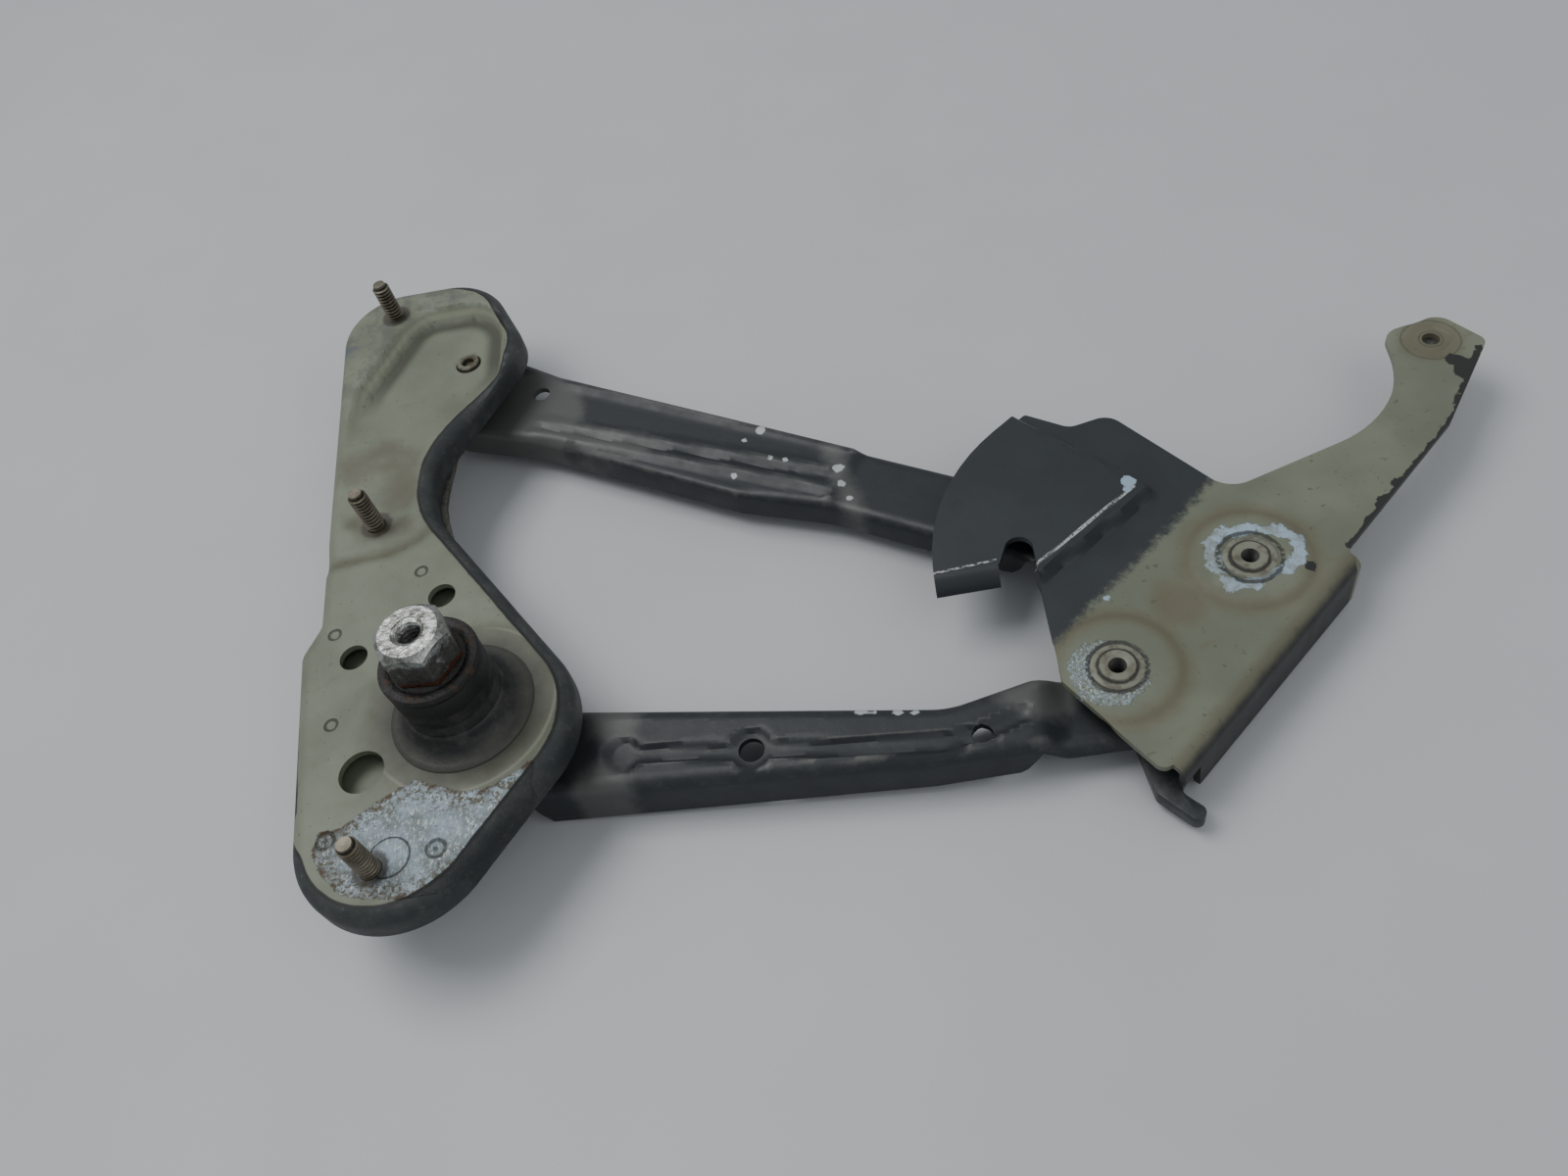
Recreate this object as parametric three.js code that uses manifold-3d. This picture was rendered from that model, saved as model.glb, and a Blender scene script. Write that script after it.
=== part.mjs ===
// Four-pivot control arm of pressed steel: a base pan with three studs and a drive shaft, a front and
// a rear arm of channel section, and a lid bracket carried by both arms. Millimetres, +Z up.
// The four pivot axes are parallel to Z. Heights are counted down from the pan's mounting face.
import * as THREE from 'three';
import { mergeVertices } from 'three/addons/utils/BufferGeometryUtils.js';
import Module from 'manifold-3d';

const wasm = await Module();
wasm.setup();

// ---------------------------------------------------------------- driving dimensions
const SHEET = 2; // thickness of every pressed sheet
const GAP = 0.3; // air between two pieces that touch or are fixed together
const RUNNING = 1; // air above the arms where the bracket and the pan pass over them
const PAN_DEPTH = 10; // mounting face to the lower edge of the pan's skirt
const BRACKET_DROP = 16; // mounting face to the bracket's flat
const PAN_ROUND = 5; // bend radius of the pan's shoulder

const REAR_PIVOT_ACROSS = -15.6; // rear pivot from the drive shaft's axis, along X
const REAR_PIVOT_AWAY = 147.7; // the same, along Y
const FRONT_LINK = 189.8; // drive shaft to the front pivot pin
const FRONT_SLOPE = THREE.MathUtils.degToRad(-4.4); // direction of that line
const PIN_SPREAD_ACROSS = 8.5; // front pin to rear pin of the bracket, along X
const PIN_SPREAD_AWAY = 44.5; // the same, along Y

const STUD_RADIUS = 2.95;
const STUD_HEIGHT = 15;
const STUD_PLACES = [
  [-19.9, -45.4],
  [-36.6, 73.8],
  [REAR_PIVOT_ACROSS - 28.5, REAR_PIVOT_AWAY + 27.2],
];

const JOURNAL_RADIUS = 8.5; // drive shaft in its bushes
const SHAFT_HEIGHT = 37; // top of the hexagon above the mounting face
const HEX_ACROSS_FLATS = 18;
const HEX_HEIGHT = 12;
const SHAFT_BORE = 3.4;
const BUSH_WALL = 2;
const HOUSING_WALL = 2.65; // housing tube outside the bushes, at its top
const HOUSING_HEIGHT = 22;
const SEAL_HEIGHT = 2.4;

const REAR_RIVET_RADIUS = 5;
const PIN_RADIUS = 4; // both pins of the bracket
const PIN_HEAD = 2.4; // height of a pin's or rivet's formed head
const WASHER = 1.6;
const OPEN_PIVOT_PLAY = 4.7; // radial play of the rear pin in the rear arm, where the linkage is open

const PLATE = 5; // thick pivot plate under the bracket
const INSERT_HEIGHT = 5; // threaded inserts below the bracket's sheet
const INSERT_RADIUS = 5;
const INSERT_BORE = 2.5;
const POCKET_RISE = 4; // the bracket's cover stands this far above its flat
const BRACKET_SKIRT = 18;
const COVER_RADIUS = 64.5; // free edge of the cover, round the rear pin
const FRONT_FLANGE = 16; // depth of the front arm's channel at the shaft
const FRONT_FLANGE_END = 13;
const REAR_FLANGE = 11;

// ---------------------------------------------------------------- levels that follow from them
const PAN_UNDER = -SHEET;
const BRACKET_TOP = -BRACKET_DROP;
const BRACKET_UNDER = BRACKET_TOP - SHEET;
const ARM_TOP = BRACKET_UNDER - RUNNING;
const ARM_UNDER = ARM_TOP - SHEET;
const FRONT_END_TOP = BRACKET_UNDER - GAP - INSERT_HEIGHT - RUNNING;
const REAR_END_TOP = BRACKET_UNDER - GAP - PIN_HEAD - GAP;
const PLATE_TOP = FRONT_END_TOP - SHEET - GAP - WASHER - GAP;
const PLATE_UNDER = PLATE_TOP - PLATE;
const BUSH_OUTER = JOURNAL_RADIUS + GAP + BUSH_WALL;
const HOUSING_BORE = BUSH_OUTER + GAP;
const HOUSING_OUTER = HOUSING_BORE + HOUSING_WALL;
const REAR_PIVOT = [REAR_PIVOT_ACROSS, REAR_PIVOT_AWAY];
const FRONT_PIN = [FRONT_LINK * Math.cos(FRONT_SLOPE), FRONT_LINK * Math.sin(FRONT_SLOPE)];
const REAR_PIN = [FRONT_PIN[0] + PIN_SPREAD_ACROSS, FRONT_PIN[1] + PIN_SPREAD_AWAY];
const REAR_LINE = [REAR_PIN[0] - REAR_PIVOT[0], REAR_PIN[1] - REAR_PIVOT[1]];
const REAR_LINK = Math.hypot(...REAR_LINE);
const REAR_SLOPE = Math.atan2(REAR_LINE[1], REAR_LINE[0]);

// ---------------------------------------------------------------- shape helpers
const FINEST_TURN = THREE.MathUtils.degToRad(15);
const ROUND_SIDES = 28;
const FAR_ABOVE = 100; // cutters reach this far past the part, up and down
const FAR_BELOW = -100;

// Closed outline like a belt laid round pegs [x, y, r]. It runs counter-clockwise; a peg of
// negative radius lies outside the belt and makes a hollow, and radius 0 is a sharp corner.
function belt(pegs) {
  const count = pegs.length;
  const headings = pegs.map(([x, y, r], i) => {
    const [nextX, nextY, nextR] = pegs[(i + 1) % count];
    const distance = Math.hypot(nextX - x, nextY - y);
    return Math.atan2(nextY - y, nextX - x) - Math.asin((nextR - r) / distance);
  });
  const points = [];
  pegs.forEach(([x, y, r], i) => {
    const arriving = headings[(i + count - 1) % count];
    let turn = (headings[i] - arriving) % (2 * Math.PI);
    if (turn > Math.PI) turn -= 2 * Math.PI;
    if (turn < -Math.PI) turn += 2 * Math.PI;
    if (r > 0 && turn < 0) turn += 2 * Math.PI;
    if (r < 0 && turn > 0) turn -= 2 * Math.PI;
    const steps = r === 0 ? 0 : Math.max(1, Math.ceil(Math.abs(turn) / FINEST_TURN));
    for (let k = 0; k <= steps; k++) {
      const heading = arriving + (steps ? (turn * k) / steps : 0);
      points.push(new THREE.Vector2(x + r * Math.sin(heading), y - r * Math.cos(heading)));
    }
  });
  return new THREE.Shape(points);
}

function solid(geometry) {
  geometry.deleteAttribute('normal');
  geometry.deleteAttribute('uv');
  const merged = mergeVertices(geometry, 1e-4);
  return new wasm.Manifold(new wasm.Mesh({
    numProp: 3,
    vertProperties: new Float32Array(merged.attributes.position.array),
    triVerts: new Uint32Array(merged.index.array),
  }));
}

// Upright prism over a plan shape, from one height to another.
function prism(shape, low, high) {
  const geometry = new THREE.ExtrudeGeometry(shape, { depth: high - low, bevelEnabled: false });
  geometry.translate(0, 0, low);
  return solid(geometry);
}

// The same with a rounded upper edge; inset moves the whole wall inwards.
function roundedPrism(shape, low, high, inset, round) {
  const geometry = new THREE.ExtrudeGeometry(shape, {
    depth: high - low - round,
    bevelSize: round,
    bevelThickness: round,
    bevelOffset: -inset - round,
    bevelSegments: 3,
  });
  geometry.translate(0, 0, low);
  return solid(geometry).trimByPlane([0, 0, 1], low);
}

function disc(x, y, radius, low, high, sides = ROUND_SIDES) {
  const geometry = new THREE.CylinderGeometry(radius, radius, high - low, sides);
  geometry.rotateX(Math.PI / 2);
  geometry.translate(x, y, (low + high) / 2);
  return solid(geometry);
}

// A disc long enough to pierce any piece below the mounting face.
function bore(x, y, radius) {
  return disc(x, y, radius, FAR_BELOW, 1);
}

// Solid of revolution about a Z axis through [x, y]; the closed profile is [radius, height] pairs.
function turned(profile, x = 0, y = 0) {
  const points = [...profile, profile[0]].map(([r, z]) => new THREE.Vector2(r, z));
  const geometry = new THREE.LatheGeometry(points, ROUND_SIDES);
  geometry.rotateX(Math.PI / 2);
  geometry.translate(x, y, 0);
  const made = solid(geometry);
  return made.volume() < 0 ? solid(flipped(geometry)) : made;
}

function flipped(geometry) {
  const order = geometry.index.array;
  for (let i = 0; i < order.length; i += 3) [order[i], order[i + 1]] = [order[i + 1], order[i]];
  return geometry;
}

function tube(inner, outer, low, high, x = 0, y = 0) {
  return turned([[inner, low], [outer, low], [outer, high], [inner, high]], x, y);
}

// Strip with a side view of [x, z] pairs, wide enough to cover a whole piece in Y.
function sideStrip(profile) {
  const shape = new THREE.Shape(profile.map(([x, z]) => new THREE.Vector2(x, z)));
  const geometry = new THREE.ExtrudeGeometry(shape, { depth: 400, bevelEnabled: false });
  geometry.rotateX(Math.PI / 2);
  geometry.translate(0, 200, 0);
  return solid(geometry);
}

function mesh(name, body, color, roughness = 0.5, metalness = 0.6) {
  const data = body.getMesh();
  const geometry = new THREE.BufferGeometry();
  geometry.setAttribute('position', new THREE.BufferAttribute(new Float32Array(data.vertProperties), 3));
  geometry.setIndex(new THREE.BufferAttribute(new Uint32Array(data.triVerts), 1));
  geometry.computeVertexNormals();
  const made = new THREE.Mesh(geometry, new THREE.MeshStandardMaterial({ color, roughness, metalness }));
  made.name = name;
  return made;
}

const PRIMER = 0x7d8067;
const DARK_PAINT = 0x2b3035;
const BARE_STEEL = 0x8d8a82;
const ZINC = 0xb9bcbb;
const BRONZE = 0x8a6b3c;
const RUBBER = 0x1c1b1a;

// ---------------------------------------------------------------- base: pan and plates
const base = new THREE.Group();

// Plan of the pan outside its skirt: foot lobe, shaft lobe, waist, rear lobe, step in the left edge.
const rearLobe = (x, y, r) => [REAR_PIVOT[0] + x, REAR_PIVOT[1] + y, r];
const panPlan = belt([
  [-17.1, -31.6, 28],
  [1.2, -3.1, 30],
  [14.2, REAR_PIVOT[1] - 57.3, -35],
  rearLobe(-1.2, 2.7, 21),
  rearLobe(-11.2, 17.2, 24),
  rearLobe(-27, 20, 21.5),
  [-56, 38.4, -6],
  [-48, 26.4, 6],
]);

const RECESS_DROP = 4; // the rear pivot sits in a sunken round of the pan
const RECESS_RADIUS = 11;
const SPIGOT_RADIUS = 13.5; // lower end of the bearing housing, through the pan
const panHoles = [
  [-27, -16.2, 6.5],
  [-35.6, 22.8, 4.25],
  [-10.9, 40.7, 4.25],
];

let pan = roundedPrism(panPlan, -PAN_DEPTH, 0, 0, PAN_ROUND)
  .subtract(roundedPrism(panPlan, -PAN_DEPTH - 1, PAN_UNDER, SHEET, PAN_ROUND - SHEET));
pan = pan
  .subtract(disc(...REAR_PIVOT, RECESS_RADIUS, -RECESS_DROP, 1))
  .add(disc(...REAR_PIVOT, RECESS_RADIUS + SHEET, PAN_UNDER - RECESS_DROP, PAN_UNDER + 0.5)
    .subtract(disc(...REAR_PIVOT, RECESS_RADIUS, -RECESS_DROP, 1)));
const RIVET_SPIGOT = REAR_RIVET_RADIUS - 1;
pan = pan
  .subtract(bore(...REAR_PIVOT, RIVET_SPIGOT + GAP))
  .subtract(bore(0, 0, SPIGOT_RADIUS + GAP));
for (const [x, y, r] of panHoles) pan = pan.subtract(bore(x, y, r));
for (const [x, y] of STUD_PLACES) pan = pan.subtract(bore(x, y, STUD_RADIUS + GAP));
base.add(mesh('base_pan', pan, PRIMER, 0.55, 0.2));

// Flat stiffener inside the pan, seen through the pan's holes.
const STIFFENER_TOP = -6.5;
const SHOULDER_RADIUS = REAR_RIVET_RADIUS + 3;
const stiffener = roundedPrism(panPlan, STIFFENER_TOP - SHEET, STIFFENER_TOP, SHEET + GAP, 0.2)
  .subtract(bore(0, 0, SPIGOT_RADIUS + GAP))
  .subtract(bore(...REAR_PIVOT, SHOULDER_RADIUS + GAP));
base.add(mesh('base_stiffener', stiffener, ZINC, 0.5, 0.7));

// Rough-edged closing plate under the waist of the skirt, between the two arms' ends.
const closingPlan = belt([
  [-13, 38, 8],
  [14.2, REAR_PIVOT[1] - 57.3, -33.5],
  rearLobe(-7, -33.3, 5),
  rearLobe(-30, -33.3, 5),
  [-34, 38, 8],
]);
const closing = prism(closingPlan, -PAN_DEPTH - GAP - SHEET, -PAN_DEPTH - GAP);
base.add(mesh('closing_plate', closing, BARE_STEEL, 0.7, 0.5));

// Weld studs: a flat head under the pan, a chamfered threaded shank above it.
const STUD_HEAD_RADIUS = 6;
STUD_PLACES.forEach(([x, y], i) => {
  const headTop = PAN_UNDER - GAP;
  const stud = turned([
    [0, headTop - SHEET],
    [STUD_HEAD_RADIUS, headTop - SHEET],
    [STUD_HEAD_RADIUS, headTop],
    [STUD_RADIUS, headTop],
    [STUD_RADIUS, STUD_HEIGHT - 0.8],
    [STUD_RADIUS - 0.8, STUD_HEIGHT],
    [0, STUD_HEIGHT],
  ], x, y);
  base.add(mesh(`mounting_stud_${i + 1}`, stud, BARE_STEEL, 0.5, 0.8));
});

// ---------------------------------------------------------------- base: shaft bearing
const housing = turned([
  [HOUSING_BORE, BRACKET_TOP],
  [SPIGOT_RADIUS, BRACKET_TOP],
  [SPIGOT_RADIUS, GAP],
  [20.5, GAP],
  [20.5, 1.4],
  [17.6, 3],
  [HOUSING_OUTER + 2.2, 6],
  [HOUSING_OUTER, HOUSING_HEIGHT],
  [HOUSING_BORE, HOUSING_HEIGHT],
]);
base.add(mesh('bearing_housing', housing, DARK_PAINT, 0.6, 0.3));

const BUSH_LENGTH = 12;
const bushTop = HOUSING_HEIGHT - GAP;
const upperBush = tube(JOURNAL_RADIUS + GAP, BUSH_OUTER, bushTop - BUSH_LENGTH, bushTop);
base.add(mesh('upper_shaft_bush', upperBush, BRONZE, 0.4, 0.9));
const lowerBush = tube(JOURNAL_RADIUS + GAP, BUSH_OUTER, BRACKET_TOP, BRACKET_TOP + BUSH_LENGTH);
base.add(mesh('lower_shaft_bush', lowerBush, BRONZE, 0.4, 0.9));

const SEAL_LOW = HOUSING_HEIGHT + GAP;
const seal = turned([
  [JOURNAL_RADIUS + GAP, SEAL_LOW],
  [HOUSING_OUTER + 0.2, SEAL_LOW],
  [HOUSING_OUTER + 0.2, SEAL_LOW + SEAL_HEIGHT - 0.8],
  [HOUSING_OUTER - 1.2, SEAL_LOW + SEAL_HEIGHT],
  [JOURNAL_RADIUS + GAP, SEAL_LOW + SEAL_HEIGHT],
]);
base.add(mesh('shaft_seal', seal, RUBBER, 0.8, 0));

const thrustWasher = tube(JOURNAL_RADIUS + GAP, SPIGOT_RADIUS, ARM_TOP + GAP, BRACKET_TOP - GAP);
base.add(mesh('thrust_washer', thrustWasher, ZINC, 0.4, 0.9));

// ---------------------------------------------------------------- base: rear pivot
const RIVET_TOP = 1.2 - RECESS_DROP;
const RIVET_WASHER_TOP = ARM_UNDER - GAP;
const RIVET_HEAD_TOP = RIVET_WASHER_TOP - WASHER - GAP;
const rivet = turned([
  [0, RIVET_HEAD_TOP - PIN_HEAD],
  [SHOULDER_RADIUS, RIVET_HEAD_TOP - PIN_HEAD],
  [SHOULDER_RADIUS, RIVET_HEAD_TOP],
  [REAR_RIVET_RADIUS, RIVET_HEAD_TOP],
  [REAR_RIVET_RADIUS, ARM_TOP + GAP],
  [SHOULDER_RADIUS, ARM_TOP + GAP],
  [SHOULDER_RADIUS, PAN_UNDER - RECESS_DROP - GAP],
  [RIVET_SPIGOT, PAN_UNDER - RECESS_DROP - GAP],
  [RIVET_SPIGOT, RIVET_TOP],
  [RIVET_SPIGOT / 2, RIVET_TOP],
  [RIVET_SPIGOT / 2, RIVET_TOP - 3],
  [0, RIVET_TOP - 3],
], ...REAR_PIVOT);
base.add(mesh('rear_pivot_rivet', rivet, BARE_STEEL, 0.5, 0.8));
const rivetWasher = tube(
  REAR_RIVET_RADIUS + GAP, SHOULDER_RADIUS + 2, RIVET_WASHER_TOP - WASHER, RIVET_WASHER_TOP, ...REAR_PIVOT);
base.add(mesh('rear_pivot_washer', rivetWasher, ZINC, 0.4, 0.9));

// ---------------------------------------------------------------- channel arms
// A channel seen from above (plan) and from the side: the web follows the height list [x, top],
// and flanges hang along the plan's edge down to the depth list [x, bottom].
function channel(plan, heights, flangeOutline) {
  const under = heights.map(([x, z]) => [x, z - SHEET]);
  const block = prism(plan, FAR_BELOW, 0);
  const web = block.intersect(sideStrip([...under, ...[...heights].reverse()]));
  const wall = block.subtract(roundedPrism(plan, 2 * FAR_BELOW, FAR_ABOVE, SHEET, 0.1));
  return web.add(wall.intersect(sideStrip(flangeOutline)));
}

// ---------------------------------------------------------------- front arm
const frontArm = new THREE.Group();
frontArm.rotation.z = FRONT_SLOPE;
const FRONT_EYE = 11;
const HUB_HEIGHT = 6;
const HUB_RADIUS = 12;
const FRONT_JOGGLE = FRONT_LINK - 36; // start of the step down under the bracket
const FRONT_JOGGLE_RUN = 9;
const frontPlan = belt([
  [0.3, -4, 15],
  [FRONT_LINK - 63.6, -7.8, 9],
  [FRONT_LINK, 0, FRONT_EYE],
  [FRONT_LINK - 28, -0.3, 10],
  [FRONT_LINK - 61, 26, -25],
]);
const frontHeights = [
  [-40, ARM_TOP],
  [FRONT_JOGGLE, ARM_TOP],
  [FRONT_JOGGLE + FRONT_JOGGLE_RUN, FRONT_END_TOP],
  [FRONT_LINK + 40, FRONT_END_TOP],
];
const frontFlange = [
  [HUB_RADIUS + 3, ARM_TOP - SHEET],
  [HUB_RADIUS + 7, ARM_TOP - FRONT_FLANGE],
  [FRONT_JOGGLE - 6, ARM_TOP - FRONT_FLANGE_END],
  [FRONT_JOGGLE + 3, ARM_TOP - SHEET],
  [FRONT_JOGGLE - 2, ARM_TOP],
  [HUB_RADIUS + 3, ARM_TOP],
];
const EYE_BUSH_WALL = 1.5;
const frontEyeHole = PIN_RADIUS + GAP + EYE_BUSH_WALL + GAP;
const frontHoles = [[77.7, -8.9, 3.7], [FRONT_LINK - 49.7, -8.5, 3]];
let frontChannel = channel(frontPlan, frontHeights, frontFlange)
  .subtract(bore(0, 0, JOURNAL_RADIUS + GAP))
  .subtract(bore(FRONT_LINK, 0, frontEyeHole));
for (const [x, y, r] of frontHoles) frontChannel = frontChannel.subtract(bore(x, y, r));
frontArm.add(mesh('front_arm', frontChannel, DARK_PAINT, 0.5, 0.3));

const hub = tube(JOURNAL_RADIUS + GAP, HUB_RADIUS, ARM_UNDER - GAP - HUB_HEIGHT, ARM_UNDER - GAP);
frontArm.add(mesh('front_arm_hub', hub, DARK_PAINT, 0.5, 0.4));

// Drive shaft: chamfered hexagon with a tapped bore, journal, lower end with a ring groove.
const RING_HEIGHT = 2;
const RING_TOP = ARM_UNDER - GAP - HUB_HEIGHT - GAP;
const GROOVE_DEPTH = 1.3;
const hexCorner = HEX_ACROSS_FLATS / 2 / Math.cos(Math.PI / 6);
const hexCap = turned([
  [0, SHAFT_HEIGHT - HEX_HEIGHT - 5],
  [hexCorner + 1, SHAFT_HEIGHT - HEX_HEIGHT - 5],
  [hexCorner + 1, SHAFT_HEIGHT - 3.4],
  [HEX_ACROSS_FLATS / 2 - 1.2, SHAFT_HEIGHT],
  [0, SHAFT_HEIGHT],
]);
const hexagon = disc(0, 0, hexCorner, SHAFT_HEIGHT - HEX_HEIGHT, SHAFT_HEIGHT, 6).intersect(hexCap);
const journal = turned([
  [0, RING_TOP - GAP - RING_HEIGHT - GAP - 1.5],
  [JOURNAL_RADIUS - 0.5, RING_TOP - GAP - RING_HEIGHT - GAP - 1.5],
  [JOURNAL_RADIUS, RING_TOP - GAP - RING_HEIGHT - GAP - 1],
  [JOURNAL_RADIUS, RING_TOP - GAP - RING_HEIGHT],
  [JOURNAL_RADIUS - GROOVE_DEPTH, RING_TOP - GAP - RING_HEIGHT],
  [JOURNAL_RADIUS - GROOVE_DEPTH, RING_TOP],
  [JOURNAL_RADIUS, RING_TOP],
  [JOURNAL_RADIUS, SHAFT_HEIGHT - HEX_HEIGHT + 0.1],
  [0, SHAFT_HEIGHT - HEX_HEIGHT + 0.1],
]);
const shaft = journal.add(hexagon).subtract(disc(0, 0, SHAFT_BORE, SHAFT_HEIGHT - 16, SHAFT_HEIGHT + 1, 20));
frontArm.add(mesh('drive_shaft', shaft, ZINC, 0.3, 0.9));

// Open retaining ring that sits in the groove.
const ringSlot = new THREE.BoxGeometry(30, 7, 10);
ringSlot.translate(15, 0, RING_TOP - 2);
const ring = tube(
  JOURNAL_RADIUS - GROOVE_DEPTH + GAP, JOURNAL_RADIUS + 2.5, RING_TOP - RING_HEIGHT, RING_TOP - GAP / 3)
  .subtract(solid(ringSlot));
frontArm.add(mesh('shaft_retaining_ring', ring, BARE_STEEL, 0.4, 0.9));

const frontBush = tube(
  PIN_RADIUS + GAP, PIN_RADIUS + GAP + EYE_BUSH_WALL, FRONT_END_TOP - SHEET, FRONT_END_TOP, FRONT_LINK, 0);
frontArm.add(mesh('front_pin_bush', frontBush, BRONZE, 0.4, 0.9));

// ---------------------------------------------------------------- rear arm
const rearArm = new THREE.Group();
rearArm.position.set(...REAR_PIVOT, 0);
rearArm.rotation.z = REAR_SLOPE;
const REAR_EYE = 19; // round end at the base
const REAR_STEP = REAR_LINK - 100; // the web steps down where its ribs end
const REAR_STEP_RUN = 8;
const REAR_PIN_HOLE = PIN_RADIUS + OPEN_PIVOT_PLAY;
const REAR_PIN_EYE = REAR_PIN_HOLE + 3.8;
const rearPlan = belt([
  [0, 0, REAR_EYE],
  [34, -14.2, 0],
  [REAR_LINK - 132, -15.2, 0],
  [REAR_LINK - 100, -10.6, 0],
  [REAR_LINK, 0, REAR_PIN_EYE],
  [24, 16, 0],
]);
const rearHeights = [
  [-40, ARM_TOP],
  [REAR_STEP, ARM_TOP],
  [REAR_STEP + REAR_STEP_RUN, REAR_END_TOP],
  [REAR_LINK + 40, REAR_END_TOP],
];
const rearFlange = [
  [-40, ARM_TOP - REAR_FLANGE],
  [REAR_LINK - 44, ARM_TOP - REAR_FLANGE],
  [REAR_LINK - 34, REAR_END_TOP - SHEET],
  [REAR_LINK - 38, REAR_END_TOP],
  [REAR_STEP + REAR_STEP_RUN, REAR_END_TOP],
  [REAR_STEP, ARM_TOP],
  [-40, ARM_TOP],
];
const rearBushOuter = REAR_RIVET_RADIUS + GAP + EYE_BUSH_WALL;
const rearChannel = channel(rearPlan, rearHeights, rearFlange)
  .subtract(bore(0, 0, rearBushOuter + GAP))
  .subtract(bore(REAR_LINK, 0, REAR_PIN_HOLE))
  .subtract(bore(22, 6.5, 3));
rearArm.add(mesh('rear_arm', rearChannel, DARK_PAINT, 0.5, 0.3));
const rearBush = tube(REAR_RIVET_RADIUS + GAP, rearBushOuter, ARM_UNDER, ARM_TOP);
rearArm.add(mesh('rear_pivot_bush', rearBush, BRONZE, 0.4, 0.9));

// ---------------------------------------------------------------- lid bracket
// Drawn from the front pin. Its rear pin, cover and inserts are placed from the same pin spread.
const bracket = new THREE.Group();
bracket.position.set(...FRONT_PIN, 0);
const spread = (x, y, r = 0) => [PIN_SPREAD_ACROSS + x, PIN_SPREAD_AWAY + y, r];
const SKIRT_CORNER = [-3.6, -23.9, 3];
const SKIRT_END = spread(49.5, -13.8, 1.2);
const bracketPlan = belt([
  SKIRT_CORNER,
  SKIRT_END,
  spread(48.8, -9.3),
  spread(89, 29),
  spread(106.5, 59, 3.2),
  spread(98.5, 66, 6),
  spread(89, 64, 6),
  spread(46.5, 62.5, -36.3),
  spread(26.5, 27.5, -9),
  spread(-6.5, 46.5, 6.5),
  spread(-15, 57, -5.5),
  spread(-28.5, 58.1, 1.2),
  spread(0, 0, COVER_RADIUS),
  spread(-COVER_RADIUS - 0.1, -0.6),
  spread(-46.5, 0.8, 1),
  spread(-39.5, 4.5, -4),
  [-24.5, 5.5, 2.5],
]);

// The raised cover is the part of the sheet inside this wedge.
const wedge = (grow) => belt([
  spread(-1.5, 20, 0.5 + grow),
  spread(-76, 104, 0.5 + grow),
  spread(-110, -54, 0.5 + grow),
]);
const COVER_TOP = BRACKET_TOP + POCKET_RISE;
const inWedge = prism(wedge(0), FAR_BELOW, 0);
const inWiderWedge = prism(wedge(SHEET), FAR_BELOW, 0);
const cover = prism(bracketPlan, COVER_TOP - SHEET, COVER_TOP).intersect(inWiderWedge);
const flat = prism(bracketPlan, BRACKET_UNDER, BRACKET_TOP).subtract(inWedge);
const step = prism(bracketPlan, BRACKET_UNDER, COVER_TOP).intersect(inWiderWedge.subtract(inWedge));

// Lip that slopes down from the cover's near edge.
const LIP_FALL = POCKET_RISE + SHEET - GAP;
const lipProfile = new THREE.Shape([
  new THREE.Vector2(0.5, COVER_TOP),
  new THREE.Vector2(-4.6, COVER_TOP - LIP_FALL + 0.4),
  new THREE.Vector2(-3.2, COVER_TOP - LIP_FALL),
  new THREE.Vector2(0.5, COVER_TOP - SHEET),
]);
const lipGeometry = new THREE.ExtrudeGeometry(lipProfile, { depth: 16.5, bevelEnabled: false });
lipGeometry.rotateX(Math.PI / 2);
lipGeometry.rotateZ(Math.PI / 2);
const [lipX, lipY] = spread(-COVER_RADIUS + 1.2, 0);
lipGeometry.translate(lipX, lipY, 0);

// Skirt down the bracket's outer edge, leaving room for the hook at the front corner.
const skirtAcross = SKIRT_END[0] - SKIRT_CORNER[0];
const skirtAway = SKIRT_END[1] - SKIRT_CORNER[1];
const skirtLength = Math.hypot(skirtAcross, skirtAway);
const skirtHeading = Math.atan2(skirtAway, skirtAcross)
  - Math.asin((SKIRT_END[2] - SKIRT_CORNER[2]) / skirtLength);
const skirtPoint = (along, inwards) => [
  SKIRT_CORNER[0] + along * Math.cos(skirtHeading) + (SKIRT_CORNER[2] - inwards) * Math.sin(skirtHeading),
  SKIRT_CORNER[1] + along * Math.sin(skirtHeading) - (SKIRT_CORNER[2] - inwards) * Math.cos(skirtHeading),
];
const HOOK_ROOM = 6.5;
const skirtPlan = belt([
  [...skirtPoint(HOOK_ROOM, 0), 0],
  [...skirtPoint(skirtLength - 0.5, 0), 0],
  [...skirtPoint(skirtLength - 0.5, SHEET), 0],
  [...skirtPoint(HOOK_ROOM, SHEET), 0],
]);
const skirt = prism(skirtPlan, BRACKET_TOP - BRACKET_SKIRT, BRACKET_TOP - 0.5);

const INSERTS = [[-12, 6.9], spread(21.9, -8.5).slice(0, 2)];
const EYELET = spread(95.5, 62.9).slice(0, 2);
let lid = flat.add(cover).add(step).add(solid(lipGeometry)).add(skirt);
for (const [x, y] of INSERTS) lid = lid.subtract(bore(x, y, INSERT_RADIUS + GAP));
lid = lid.subtract(bore(...EYELET, 3.2));
bracket.add(mesh('lid_bracket', lid, DARK_PAINT, 0.5, 0.3));

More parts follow.
